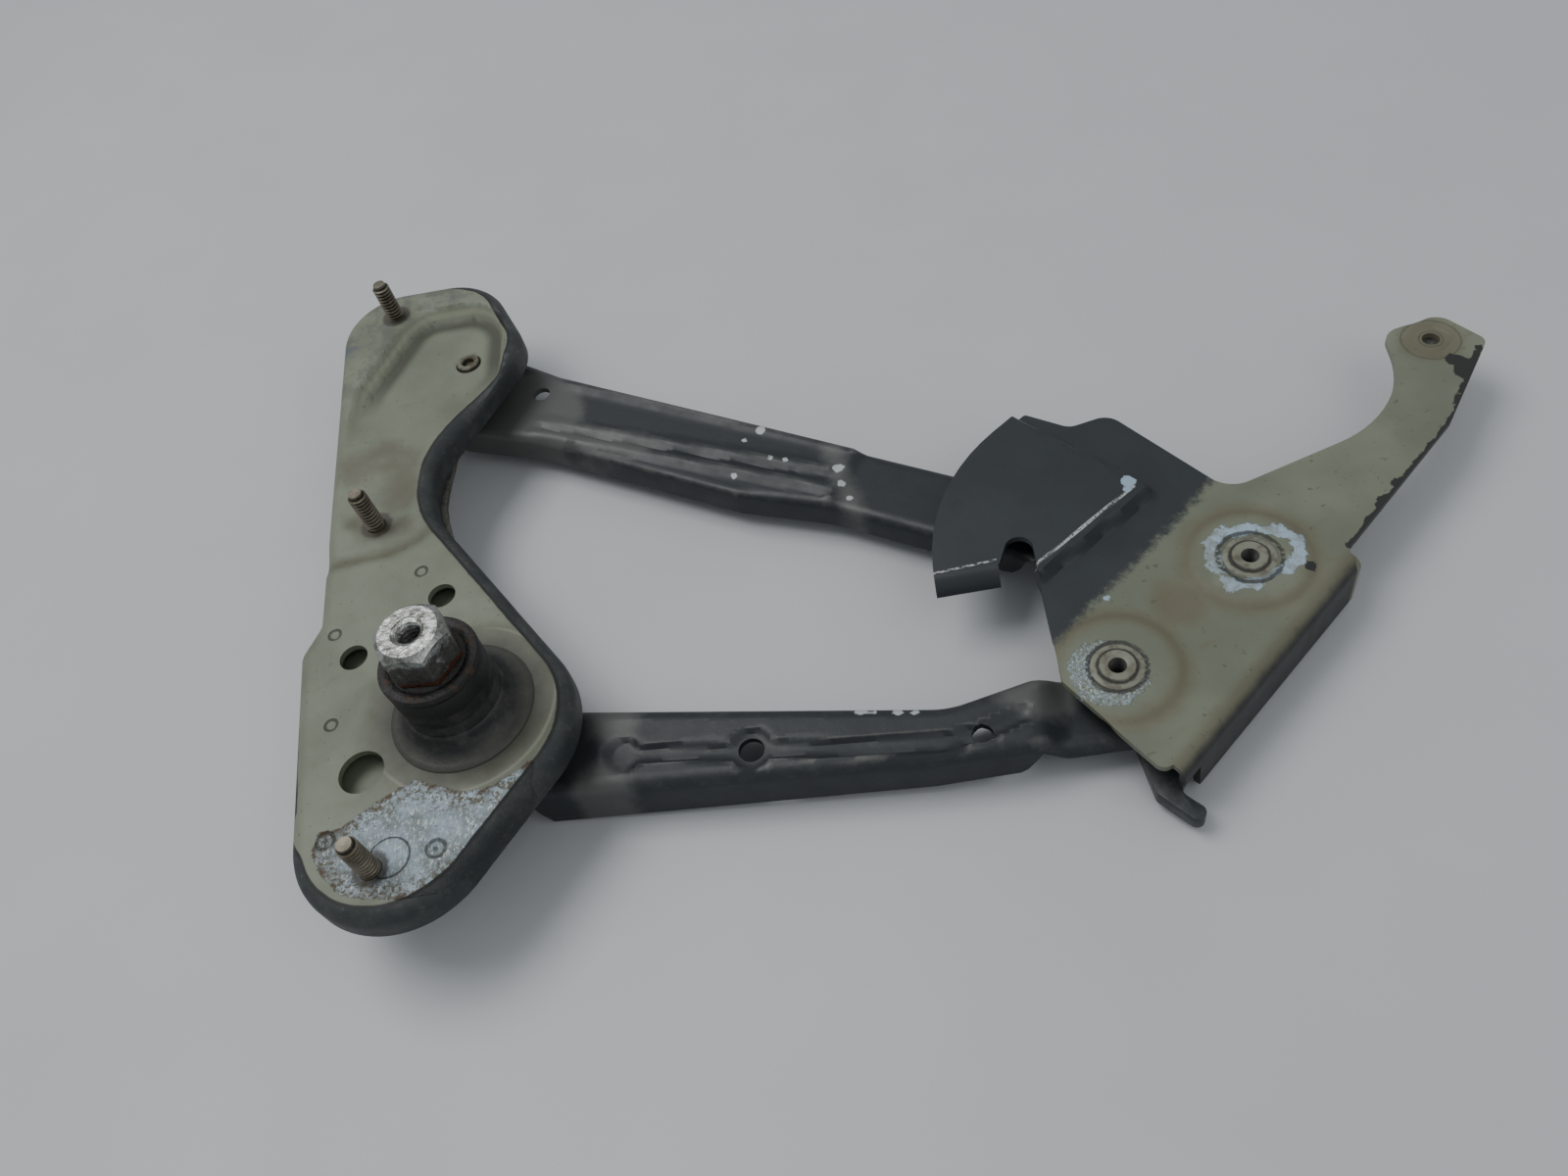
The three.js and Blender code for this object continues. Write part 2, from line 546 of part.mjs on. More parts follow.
// Threaded inserts with a thin flange on the face.
INSERTS.forEach(([x, y], i) => {
  const insert = turned([
    [INSERT_BORE, BRACKET_UNDER - GAP - INSERT_HEIGHT],
    [INSERT_RADIUS, BRACKET_UNDER - GAP - INSERT_HEIGHT],
    [INSERT_RADIUS, BRACKET_TOP + GAP],
    [7.25, BRACKET_TOP + GAP],
    [6.8, BRACKET_TOP + 1.1],
    [INSERT_BORE, BRACKET_TOP + 1.1],
  ], x, y);
  bracket.add(mesh(`lid_insert_${i + 1}`, insert, ZINC, 0.4, 0.8));
});
const eyeletNut = disc(...EYELET, 9, BRACKET_UNDER - GAP - INSERT_HEIGHT, BRACKET_UNDER - GAP, 4)
  .subtract(bore(...EYELET, INSERT_BORE));
bracket.add(mesh('eyelet_nut', eyeletNut, ZINC, 0.4, 0.8));

// Thick plate that carries both pins; its hook shows at the bracket's front corner.
const rearPinPlace = spread(0, 0).slice(0, 2);
const FRONT_BOSS = 11;
const REAR_BOSS = 12;
const platePlan = belt([
  [0.5, -31, 2.2],
  [1, -24.6, -2.6],
  [...skirtPoint(HOOK_ROOM - 1.2, SHEET + 2 * GAP), 0],
  [...skirtPoint(43, SHEET + GAP + 5), 5],
  spread(0, 0, REAR_BOSS),
  [0, 0, FRONT_BOSS],
  [-5.6, -23.3, 2.7],
]);
const plate = prism(platePlan, PLATE_UNDER, PLATE_TOP)
  .subtract(bore(0, 0, PIN_RADIUS + GAP))
  .subtract(bore(...rearPinPlace, PIN_RADIUS + GAP));
bracket.add(mesh('pivot_plate', plate, DARK_PAINT, 0.5, 0.4));

// Headed pins riveted into the thick plate, with washers or a spacer under each arm.
function pin(x, y, armTop) {
  return turned([
    [0, PLATE_UNDER - GAP - PIN_HEAD],
    [PIN_RADIUS + 2, PLATE_UNDER - GAP - PIN_HEAD],
    [PIN_RADIUS + 2.6, PLATE_UNDER - GAP],
    [PIN_RADIUS, PLATE_UNDER - GAP],
    [PIN_RADIUS, armTop + GAP],
    [PIN_RADIUS + 2.2, armTop + GAP],
    [PIN_RADIUS + 1.8, armTop + GAP + PIN_HEAD],
    [0, armTop + GAP + PIN_HEAD],
  ], x, y);
}
bracket.add(mesh('front_pivot_pin', pin(0, 0, FRONT_END_TOP), BARE_STEEL, 0.4, 0.9));
bracket.add(mesh('rear_pivot_pin', pin(...rearPinPlace, REAR_END_TOP), BARE_STEEL, 0.4, 0.9));
const frontWasher = tube(PIN_RADIUS + GAP, FRONT_BOSS - 2, PLATE_TOP + GAP, PLATE_TOP + GAP + WASHER);
bracket.add(mesh('front_pin_washer', frontWasher, ZINC, 0.4, 0.9));
const rearSpacer = tube(
  PIN_RADIUS + GAP, PIN_RADIUS + 4, PLATE_TOP + GAP, REAR_END_TOP - SHEET - GAP, ...rearPinPlace);
bracket.add(mesh('rear_pin_spacer', rearSpacer, ZINC, 0.4, 0.9));

// ---------------------------------------------------------------- frame
// Origin: on the mounting face, midway between the two lower studs.
const controlArm = new THREE.Group();
controlArm.name = 'control_arm';
const datum = [0, 1].map((axis) => (STUD_PLACES[0][axis] + STUD_PLACES[1][axis]) / 2);
controlArm.position.set(-datum[0], -datum[1], 0);
controlArm.add(base, frontArm, rearArm, bracket);
controlArm.updateMatrixWorld(true);

export default controlArm;
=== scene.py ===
"""Looks of the four-pivot control arm: worn primer and dark paint on pressed sheet, with bare and
corroded steel fixings. Lengths in the modelling code are millimetres in the part's own frame."""

import math

import bmesh
import bpy
import numpy as np
from mathutils import Matrix, Vector


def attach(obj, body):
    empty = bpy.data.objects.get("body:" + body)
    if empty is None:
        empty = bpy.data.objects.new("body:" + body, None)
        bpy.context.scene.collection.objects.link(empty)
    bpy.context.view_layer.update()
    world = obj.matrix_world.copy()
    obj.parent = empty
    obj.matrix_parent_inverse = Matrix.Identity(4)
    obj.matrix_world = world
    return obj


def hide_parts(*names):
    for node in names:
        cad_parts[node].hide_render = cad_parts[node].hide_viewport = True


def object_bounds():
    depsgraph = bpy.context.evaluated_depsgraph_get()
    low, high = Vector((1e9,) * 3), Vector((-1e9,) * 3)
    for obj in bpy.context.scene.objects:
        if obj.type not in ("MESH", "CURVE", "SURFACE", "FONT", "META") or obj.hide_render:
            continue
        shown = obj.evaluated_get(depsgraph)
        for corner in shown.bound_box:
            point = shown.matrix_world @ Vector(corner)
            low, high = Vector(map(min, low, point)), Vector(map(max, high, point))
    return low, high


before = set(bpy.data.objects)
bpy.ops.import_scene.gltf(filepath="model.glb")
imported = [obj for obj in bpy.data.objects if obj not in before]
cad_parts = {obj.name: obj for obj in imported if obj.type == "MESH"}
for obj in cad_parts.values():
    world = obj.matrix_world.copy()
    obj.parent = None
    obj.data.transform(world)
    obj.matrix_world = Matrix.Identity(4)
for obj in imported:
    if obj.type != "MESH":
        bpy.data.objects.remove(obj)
cad_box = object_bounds()

# ================================================================= paints shared by the pieces
# The real part was dip-primed in sage green before it was fitted, then its moving half was sprayed
# dark blue-grey. Road dust, grease and white zinc corrosion came later, and edges are rubbed bright.

MM = 0.001
PRIMER = "747968"
PRIMER_DEEP = "636858"
STAIN = "5f5341"
DARK = "1b2023"
DARK_DUSTY = "37393a"
RUBBED = "8b8983"
ZINC_BLUE = "93a3ad"
ZINC_WHITE = "cdd2d2"
SOOT = "141413"


def linear(code):
    parts = [int(code[i:i + 2], 16) / 255 for i in (0, 2, 4)]
    return tuple(c / 12.92 if c < 0.04045 else ((c + 0.055) / 1.055) ** 2.4 for c in parts) + (1.0,)


class Paint:
    """A node material built up layer by layer. Sizes given to its textures are millimetres."""

    def __init__(self, name, rough=0.5, metal=0.0):
        self.material = bpy.data.materials.new(name)
        self.material.use_nodes = True
        self.tree = self.material.node_tree
        self.tree.nodes.clear()
        self.shader = self.tree.nodes.new("ShaderNodeBsdfPrincipled")
        self.shader.inputs["Roughness"].default_value = rough
        self.shader.inputs["Metallic"].default_value = metal
        out = self.tree.nodes.new("ShaderNodeOutputMaterial")
        self.join(self.shader.outputs[0], out.inputs["Surface"])
        self.place = self.tree.nodes.new("ShaderNodeTexCoord").outputs["Object"]

    def join(self, source, socket):
        if isinstance(source, (int, float)):
            socket.default_value = source
        elif isinstance(source, str):
            socket.default_value = linear(source)
        else:
            self.tree.links.new(source, socket)

    def noise(self, size, detail=3.0, rough=0.55, stretch=(1, 1, 1), warp=0.0):
        node = self.tree.nodes.new("ShaderNodeTexNoise")
        node.inputs["Scale"].default_value = 1 / (size * MM)
        node.inputs["Detail"].default_value = detail
        node.inputs["Roughness"].default_value = rough
        node.inputs["Distortion"].default_value = warp
        where = self.place
        if stretch != (1, 1, 1):
            mapping = self.tree.nodes.new("ShaderNodeMapping")
            mapping.inputs["Scale"].default_value = stretch
            self.join(where, mapping.inputs["Vector"])
            where = mapping.outputs[0]
        self.join(where, node.inputs["Vector"])
        return node.outputs[0]

    def away(self, x, y):
        """Distance in millimetres from an upright axis at (x, y)."""
        flat = self.tree.nodes.new("ShaderNodeVectorMath")
        flat.operation = "MULTIPLY"
        flat.inputs[1].default_value = (1 / MM, 1 / MM, 0)
        self.join(self.place, flat.inputs[0])
        node = self.tree.nodes.new("ShaderNodeVectorMath")
        node.operation = "DISTANCE"
        node.inputs[1].default_value = (x, y, 0)
        self.join(flat.outputs[0], node.inputs[0])
        return node.outputs["Value"]

    def ring(self, x, y, radius, width):
        """1 on a thin circle round (x, y), falling to 0 at width from it."""
        off = self.calc("ABSOLUTE", self.calc("SUBTRACT", self.away(x, y), radius))
        return self.step(off, width, 0.0)

    def most(self, values):
        top = values[0]
        for value in values[1:]:
            top = self.calc("MAXIMUM", top, value)
        return top

    def given(self, name):
        node = self.tree.nodes.new("ShaderNodeAttribute")
        node.attribute_name = name
        return node.outputs["Fac"]

    def calc(self, kind, a, b=0.0):
        node = self.tree.nodes.new("ShaderNodeMath")
        node.operation = kind
        self.join(a, node.inputs[0])
        self.join(b, node.inputs[1])
        return node.outputs[0]

    def step(self, value, low, high):
        node = self.tree.nodes.new("ShaderNodeMapRange")
        node.interpolation_type = "SMOOTHSTEP"
        self.join(value, node.inputs["Value"])
        node.inputs["From Min"].default_value = low
        node.inputs["From Max"].default_value = high
        return node.outputs[0]

    def level(self, value, low, high):
        node = self.tree.nodes.new("ShaderNodeMapRange")
        self.join(value, node.inputs["Value"])
        node.inputs["To Min"].default_value = low
        node.inputs["To Max"].default_value = high
        return node.outputs[0]

    def mix(self, amount, a, b):
        node = self.tree.nodes.new("ShaderNodeMixRGB")
        self.join(amount, node.inputs[0])
        self.join(a, node.inputs[1])
        self.join(b, node.inputs[2])
        return node.outputs[0]

    def both(self, a, b):
        return self.calc("MULTIPLY", a, b)

    def ragged(self, value, size, reach, width=0.3):
        """1 where value is above 0, with the border moved in and out by noise of that reach."""
        wave = self.calc("MULTIPLY", self.calc("SUBTRACT", self.noise(size, 4.0, 0.65), 0.5), 2 * reach)
        return self.step(self.calc("ADD", value, wave), -width, width)

    def bump(self, height, depth, after=None):
        node = self.tree.nodes.new("ShaderNodeBump")
        node.inputs["Strength"].default_value = 1.0
        node.inputs["Distance"].default_value = depth * MM
        self.join(height, node.inputs["Height"])
        if after is not None:
            self.join(after, node.inputs["Normal"])
        return node.outputs[0]

    def finish(self, colour, rough=None, metal=None, normal=None):
        self.join(colour, self.shader.inputs["Base Color"])
        if rough is not None:
            self.join(rough, self.shader.inputs["Roughness"])
        if metal is not None:
            self.join(metal, self.shader.inputs["Metallic"])
        if normal is not None:
            self.join(normal, self.shader.inputs["Normal"])
        return self.material

    # -- layers that several pieces share
    def primer(self):
        clouded = self.mix(self.step(self.noise(38, 3), 0.35, 0.7), PRIMER, PRIMER_DEEP)
        stained = self.mix(self.both(self.step(self.noise(17, 5, 0.7, warp=0.6), 0.55, 0.85), 0.75),
                           clouded, STAIN)
        return self.mix(self.both(self.step(self.noise(1.7, 2), 0.66, 0.74), 0.5), stained, "3d392e")

    def dark(self):
        dusty = self.mix(self.both(self.step(self.noise(24, 5, 0.7), 0.5, 0.8), 0.35), DARK, DARK_DUSTY)
        rubbed = self.calc("SUBTRACT", self.given("ridge"), self.both(self.noise(5, 5, 0.75), 0.5))
        return self.mix(self.both(self.step(rubbed, -0.1, 0.25), 0.25), dusty, RUBBED)

    def corroded(self):
        streaks = self.noise(1.3, 6, 0.75, (1.6, 0.8, 1), 0.5)
        bluish = self.mix(self.step(self.noise(9, 4), 0.35, 0.65), ZINC_BLUE, "727b7b")
        white = self.mix(self.step(streaks, 0.5, 0.66), bluish, ZINC_WHITE)
        return self.mix(self.both(self.step(self.noise(0.8, 3), 0.6, 0.7), 0.7), white, "3a3d3b")

    def grain(self, size=0.5, depth=0.05, lumps=6.0, lump_depth=0.12):
        return self.bump(self.noise(lumps, 3), lump_depth, self.bump(self.noise(size, 2), depth))


# ================================================================= base pan
# A deep-drawn steel pan about 2 mm thick, dip-primed sage green. Its skirt is rounded off all round
# and was painted dark; the rear end is dished round the pivot, and the foot has lost its primer.

SHEET = 2.0
PAN_BOTTOM = -10.0
PAN_ROUND = 5.0
SHAFT = (28.25, -14.2)
REAR_PIVOT = (12.65, 133.5)
STUDS = [(8.35, -59.6), (-8.35, 59.6), (-15.85, 160.7)]


def belt(pegs, finest=5.0):
    """Closed outline like a belt laid round pegs (x, y, r), counter-clockwise. A peg of negative
    radius lies outside it and makes a hollow; radius 0 is a sharp corner."""
    count = len(pegs)
    headings = []
    for i, (x, y, r) in enumerate(pegs):
        nx, ny, nr = pegs[(i + 1) % count]
        away = math.hypot(nx - x, ny - y)
        headings.append(math.atan2(ny - y, nx - x) - math.asin((nr - r) / away))
    points = []
    for i, (x, y, r) in enumerate(pegs):
        arriving = headings[i - 1]
        turn = (headings[i] - arriving + math.pi) % (2 * math.pi) - math.pi
        if r > 0 and turn < 0:
            turn += 2 * math.pi
        if r < 0 and turn > 0:
            turn -= 2 * math.pi
        steps = 0 if r == 0 else max(1, math.ceil(abs(turn) / math.radians(finest)))
        for k in range(steps + 1):
            heading = arriving + (turn * k / steps if steps else 0)
            points.append((x + r * math.sin(heading), y - r * math.cos(heading)))
    return points


def seat(points, origin, slope):
    """Points of a piece's own plan, turned by slope and moved to origin."""
    c, s = math.cos(slope), math.sin(slope)
    return [(origin[0] + x * c - y * s, origin[1] + x * s + y * c) for x, y in points]


def unseat(points, origin, slope):
    """The other way: points of the part's frame in a piece's own plan."""
    return seat([(x - origin[0], y - origin[1]) for x, y in points], (0, 0), -slope)


def clamp(t):
    return max(0.0, min(1.0, t))


def smooth(t):
    t = clamp(t)
    return t * t * (3 - 2 * t)


def off_path(x, y, path):
    """Distance from a point to a path of straight runs."""
    best = 1e9
    for (ax, ay), (bx, by) in zip(path, path[1:]):
        dx, dy = bx - ax, by - ay
        t = clamp(((x - ax) * dx + (y - ay) * dy) / (dx * dx + dy * dy))
        best = min(best, math.hypot(x - ax - t * dx, y - ay - t * dy))
    return best


def depth_inside(x, y, outline):
    """Distance from a closed outline, positive inside it."""
    inside = False
    for (ax, ay), (bx, by) in zip(outline, outline[1:] + outline[:1]):
        if (ay > y) != (by > y) and x < (bx - ax) * (y - ay) / (by - ay) + ax:
            inside = not inside
    away = off_path(x, y, outline + outline[:1])
    return away if inside else -away


def blank(outline, top, rounding, cell, steps=6):
    """Sheet cut to an outline, with a rounded shoulder and its flat ruled into cells."""
    bm = bmesh.new()
    corners = []
    for (ax, ay), (bx, by) in zip(outline, outline[1:] + outline[:1]):
        runs = max(1, round(math.hypot(bx - ax, by - ay) / (1.6 * cell)))
        corners += [(ax + (bx - ax) * k / runs, ay + (by - ay) * k / runs) for k in range(runs)]
    face = bm.faces.new([bm.verts.new((x, y, top - rounding)) for x, y in corners])
    bm.normal_update()
    if face.normal.z < 0:
        face.normal_flip()
    for k in range(steps if rounding else 0):
        a, b = (math.pi / 2 * (k + i) / steps for i in (0, 1))
        bmesh.ops.inset_individual(
            bm, faces=[face], use_even_offset=True,
            thickness=rounding * (math.cos(a) - math.cos(b)), depth=rounding * (math.sin(b) - math.sin(a)))
    flat = [face]
    corners = [v.co.copy() for v in face.verts]
    for axis in (0, 1):
        normal = Vector((1 - axis, axis, 0))
        low, high = min(c[axis] for c in corners), max(c[axis] for c in corners)
        for k in range(1, int((high - low) / cell) + 1):
            cut = low + k * cell
            crossed = [f for f in flat
                       if min(v.co[axis] for v in f.verts) < cut < max(v.co[axis] for v in f.verts)]
            if not crossed:
                continue
            kept = [f for f in flat if f not in set(crossed)]
            edges = {e for f in crossed for e in f.edges}
            verts = {v for f in crossed for v in f.verts}
            made = bmesh.ops.bisect_plane(
                bm, geom=[*verts, *edges, *crossed], plane_co=normal * cut, plane_no=normal, dist=1e-4)
            flat = kept + [g for g in made["geom"] if isinstance(g, bmesh.types.BMFace)]
    return bm


def press(bm, height):
    """Moves every point up by height(x, y)."""
    for v in bm.verts:
        v.co.z += height(v.co.x, v.co.y)


def drawn_out(bm, edges):
    """A new row of edges drawn from these, still in the same place."""
    made = bmesh.ops.extrude_edge_only(bm, edges=edges)["geom"]
    return [g for g in made if isinstance(g, bmesh.types.BMEdge)]


def flatten(bm, start, top):
    """Brings a piece's shoulder up level with its flat at the end past x = start."""
    for v in bm.verts:
        v.co.z += (top - v.co.z) * smooth((v.co.x - start) / 4)


def hang(bm, bottom, rows=2):
    """Walls from the open border down to bottom(x, y), where bottom gives a height and not None."""
    rim = [e for e in bm.edges if e.is_boundary
           and bottom(*((e.verts[0].co + e.verts[1].co) / 2).xy) is not None]
    for row in range(rows):
        rim = drawn_out(bm, rim)
        for v in {v for e in rim for v in e.verts}:
            target = bottom(v.co.x, v.co.y)
            if target is not None:
                v.co.z += (target - v.co.z) / (rows - row)


def piece(name, bm, origin=(0, 0), slope=0.0):
    """A mesh object from a bmesh in millimetres, placed but not yet scaled to metres."""
    bmesh.ops.transform(
        bm, verts=bm.verts,
        matrix=Matrix.Translation((*origin, 0)) @ Matrix.Rotation(slope, 4, "Z"))
    mesh = bpy.data.meshes.new(name)
    bm.to_mesh(mesh)
    bm.free()
    made = bpy.data.objects.new(name, mesh)
    bpy.context.scene.collection.objects.link(made)
    return made


def cutter(holes):
    """One object of upright cylinders at (x, y, radius)."""
    bm = bmesh.new()
    for x, y, r in holes:
        bmesh.ops.create_cone(
            bm, cap_ends=True, segments=40, radius1=r, radius2=r, depth=120,
            matrix=Matrix.Translation((x, y, 0)))
    return piece("cutter", bm)


def settle(made, material, body, replaced=(), holes=(), thickness=0.0, edge=0.0, sharp=38, soft=()):
    """Thickens and drills a piece, makes the result its mesh in metres, and puts it on its body."""
    tool = cutter(holes) if holes else None
    if thickness:
        solid = made.modifiers.new("thickness", "SOLIDIFY")
        solid.thickness = thickness
        solid.offset = -1
        solid.use_even_offset = True
    if tool:
        drill = made.modifiers.new("holes", "BOOLEAN")
        drill.object = tool
        drill.operation = "DIFFERENCE"
        drill.solver = "EXACT"
    if edge:
        rim = made.modifiers.new("edge", "BEVEL")
        rim.width = edge
        rim.segments = 2
        rim.limit_method = "ANGLE"
        rim.angle_limit = math.radians(50)
    bpy.context.view_layer.update()
    ready = bpy.data.meshes.new_from_object(made.evaluated_get(bpy.context.evaluated_depsgraph_get()))
    made.modifiers.clear()
    made.data = ready
    if tool:
        bpy.data.objects.remove(tool)
    bm = bmesh.new()
    bm.from_mesh(ready)
    bmesh.ops.recalc_face_normals(bm, faces=bm.faces)
    ridge = bm.verts.layers.float.new("ridge")
    for v in bm.verts:
        turns = [e.calc_face_angle_signed(0.0) for e in v.link_edges if len(e.link_faces) == 2]
        v[ridge] = sum(t for t in turns if abs(t) < 0.9) / max(1, len(turns))
    for name, rule in soft:
        layer = bm.verts.layers.float.new(name)
        for v in bm.verts:
            v[layer] = rule(*v.co)
    bmesh.ops.scale(bm, vec=(MM, MM, MM), verts=bm.verts)
    bm.to_mesh(ready)
    bm.free()
    ready.shade_smooth()
    ready.set_sharp_from_angle(angle=math.radians(sharp))
    ready.materials.clear()
    ready.materials.append(material)
    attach(made, body)
    if replaced:
        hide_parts(*replaced)
    return made


PAN = belt([
    (SHAFT[0] - 17.1, SHAFT[1] - 31.6, 28),
    (SHAFT[0] + 1.2, SHAFT[1] - 3.1, 30),
    (SHAFT[0] + 14.2, REAR_PIVOT[1] - 57.3, -35),
    (REAR_PIVOT[0] - 1.2, REAR_PIVOT[1] + 2.7, 21),
    (REAR_PIVOT[0] - 11.2, REAR_PIVOT[1] + 17.2, 24),
    (REAR_PIVOT[0] - 27, REAR_PIVOT[1] + 20, 21.5),
    (SHAFT[0] - 56, SHAFT[1] + 38.4, -6),
    (SHAFT[0] - 48, SHAFT[1] + 26.4, 6),
], 4.0)
DISH = belt([
    (9.5, 128, 16.5),
    (8.5, 142.5, 17),
    (0, 146.5, 13),
    (-9, 122, 14.5),
    (-11, 104, 14),
    (-2, 90, 12),
])
DISH_DEPTH = 5.0
PAD_RADIUS = 26.5
DIMPLES = [(-14.75, 18), (-10.35, -13.7), (9.65, 37.2)]
STAMPS = [(25.4, -55.9), (-5.7, -49.7)]
CREASE = [(-19, 44.2), (-7.3, 45.2), (-0.3, 46), (8, 50), (14, 56)]
STUD_PAD = belt([(-8.3, 63.5, 9), (-8, 76, 12), (-16, 74, 9)])


def pan_height(x, y):
    fade = smooth((y - 94) / 34)
    dish = -DISH_DEPTH * fade * smooth((depth_inside(x, y, DISH) + 2.2) / 4.4) if y > 88 else 0
    radius = math.hypot(x - SHAFT[0], y - SHAFT[1])
    pad = -0.7 * smooth((radius - PAD_RADIUS) / 2.2) * smooth((x + y * 0.3 - 4) / 8) if y < 22 else 0
    dimple = -0.7 * sum(smooth(1 - math.hypot(x - a, y - b) / 2.2) for a, b in DIMPLES)
    stamp = -0.45 * sum(smooth(1 - abs(math.hypot(x - a, y - b) - 2.1) / 1.1) for a, b in STAMPS)
    crease = 0
    if 36 < y < 66 and x < 16:
        above = y - np.interp(x, [p[0] for p in CREASE], [p[1] for p in CREASE])
        crease = -1.1 * smooth((above + 1) / 2.6) * (1 - smooth((above - 4) / 9))
    sunk = -0.6 * smooth((depth_inside(x, y, STUD_PAD) + 1.5) / 3) if 50 < y < 94 else 0
    return dish + pad + dimple + stamp + crease + sunk


pan_bare = [
    (-1.9, -46.6), (5.1, -41.6), (11.6, -37.3), (17.8, -35.1), (24, -38.4), (31.3, -40.6), (38.3, -40.6),
    (43.7, -37.6), (49.5, -33), (49, -42), (38, -60), (25, -68.5), (14.1, -68.8), (7.2, -67.7),
    (-0.2, -64.7), (-6.2, -58.3), (-8.5, -53.7), (-8.3, -47.1)]


FOOT_START = -40
SKIRT_LEVEL = -6
FACE_INSET_LEFT = 0.6
FACE_INSET_GROWTH = 3.6


def beyond_face(x, y, z):
    """Distance outside the sage face. The overspray stops short of the left shoulder."""
    if y > FOOT_START:
        turned = smooth((x + 26 - 0.32 * max(0, y + 20) / 4) / 22)
    else:
        turned = smooth((-46 - y) / 12 + (x + 18) / 26)
    low = 0 if z > SKIRT_LEVEL else 4 * (turned - 1)
    return FACE_INSET_LEFT + FACE_INSET_GROWTH * turned - depth_inside(x, y, PAN) - low


def dish_depth(x, y, z):
    return max(-8, depth_inside(x, y, DISH))


def dish_end(x, y, z):
    """1 at the dish's far end, 0 where its walls have faded out towards the waist."""
    return smooth((y - 108) / 26)


def near_stud(x, y, z):
    return 5.2 - min(math.hypot(x - a, y - b) for a, b in STUDS)


def pan_stains(x, y, z):
    crease = 2.0 - off_path(x, y + 2.5, [(a - 2, b + 4) for a, b in CREASE])
    shaft = 25 - math.hypot(x - SHAFT[0], y - SHAFT[1])
    patch = 6.0 - off_path(x, y, [(-20, 86), (-10, 90), (-2, 84), (-2, 71)])
    return max(crease, 0.28 * shaft, patch * 0.6, 3 - off_path(x, y, [(-16, 62), (-9, 57), (1, 58)])) / 3


paint = Paint("worn_primer")
sage = paint.primer()
sage = paint.mix(paint.both(paint.ragged(paint.given("stains"), 7, 0.8, 0.9), 0.6), sage, "4b4333")
high = paint.both(paint.step(paint.given("dish"), 0.5, -2.5), paint.step(paint.noise(11, 4, 0.7), 0.42, 0.6))
far = paint.given("far")
sage = paint.mix(paint.both(paint.both(high, far), 0.6), sage, "4f4f48")
smudge = paint.both(
    paint.step(paint.given("dish"), -1.0, -3.0), paint.step(paint.noise(13, 5, 0.6), 0.55, 0.68))
sage = paint.mix(paint.both(paint.both(smudge, far), 0.7), sage, "4a5360")
# Painted shade: just inside the dish's rim at the far end the sage is darkened, where the wall faces away
# from the light.
far_wall_shade = paint.both(paint.step(paint.given("dish"), 0.4, 2.6), paint.step(paint.given("dish"), 8.6, 4.2))
sage = paint.mix(paint.both(paint.both(far_wall_shade, far), 0.85), sage, "34352a")
# Painted highlight: a lighter line along the dish's rim at the far end.
crest = paint.step(paint.calc("ABSOLUTE", paint.given("dish")), 0.9, 0.1)
sage = paint.mix(paint.both(paint.both(crest, far), 0.4), sage, "92937f")
# Painted shade: the pan is darkened round the foot of the bearing sleeve.
shade = paint.both(paint.step(paint.away(*SHAFT), 30.0, 19.0), paint.level(paint.noise(7, 4), 0.5, 1.0))
sage = paint.mix(shade, sage, "383731")
pad_line = paint.both(paint.ring(*SHAFT, PAD_RADIUS, 0.8), paint.step(paint.away(-4, 6), 34.0, 44.0))
sage = paint.mix(paint.both(pad_line, 0.45), sage, "8d8d7c")
zone = paint.ragged(paint.given("bare"), 5, 1.5, 0.25)
rim = paint.both(zone, paint.calc("SUBTRACT", 1.0, paint.step(paint.given("bare"), 0.3, 2.4)))
grainy = paint.mix(
    paint.both(paint.step(paint.given("bare"), 9.0, 2.0), paint.step(paint.noise(1.6, 5, 0.8), 0.47, 0.56)),
    paint.corroded(), "57503f")
metal_face = paint.mix(paint.both(rim, paint.step(paint.noise(4, 4), 0.4, 0.6)), grainy, "4c3c2c")
face = paint.mix(zone, sage, metal_face)
face = paint.mix(paint.both(paint.ragged(paint.given("stud"), 3, 1.0, 0.8), 0.8), face, "332c22")
beyond = paint.given("beyond")
outside = paint.ragged(beyond, 6, 0.35, 0.2)
line = paint.both(outside, paint.calc("SUBTRACT", 1.0, paint.step(beyond, 0.5, 1.3)))
skirt = paint.mix(paint.step(paint.noise(13, 5, 0.7), 0.4, 0.75), "262a2b", "3f413e")
skirt = paint.mix(paint.both(paint.step(paint.noise(2.2, 5, 0.8), 0.56, 0.72), 0.4), skirt, "6b6a63")
colour = paint.mix(outside, face, paint.mix(line, skirt, SOOT))
small_rings = paint.most(
    [paint.ring(x, y, 1.75, 0.55) for x, y in DIMPLES] + [paint.ring(x, y, 2.4, 0.7) for x, y in STAMPS]
    + [paint.ring(x, y, 0.0, 1.0) for x, y in STAMPS] + [paint.ring(13, -57, 5.6, 0.4)]
    + [paint.ring(*REAR_PIVOT, 4.3, 0.35)])
colour = paint.mix(paint.both(small_rings, 0.75), colour, "39382c")
pan_material = paint.finish(
    colour,
    paint.level(paint.noise(6, 4), 0.42, 0.72),
    paint.both(zone, 0.25),
    paint.bump(
        paint.both(zone, paint.noise(0.9, 4, 0.7)), 0.35,
        paint.bump(paint.calc("SUBTRACT", 1.0, small_rings), 0.5, paint.grain())))

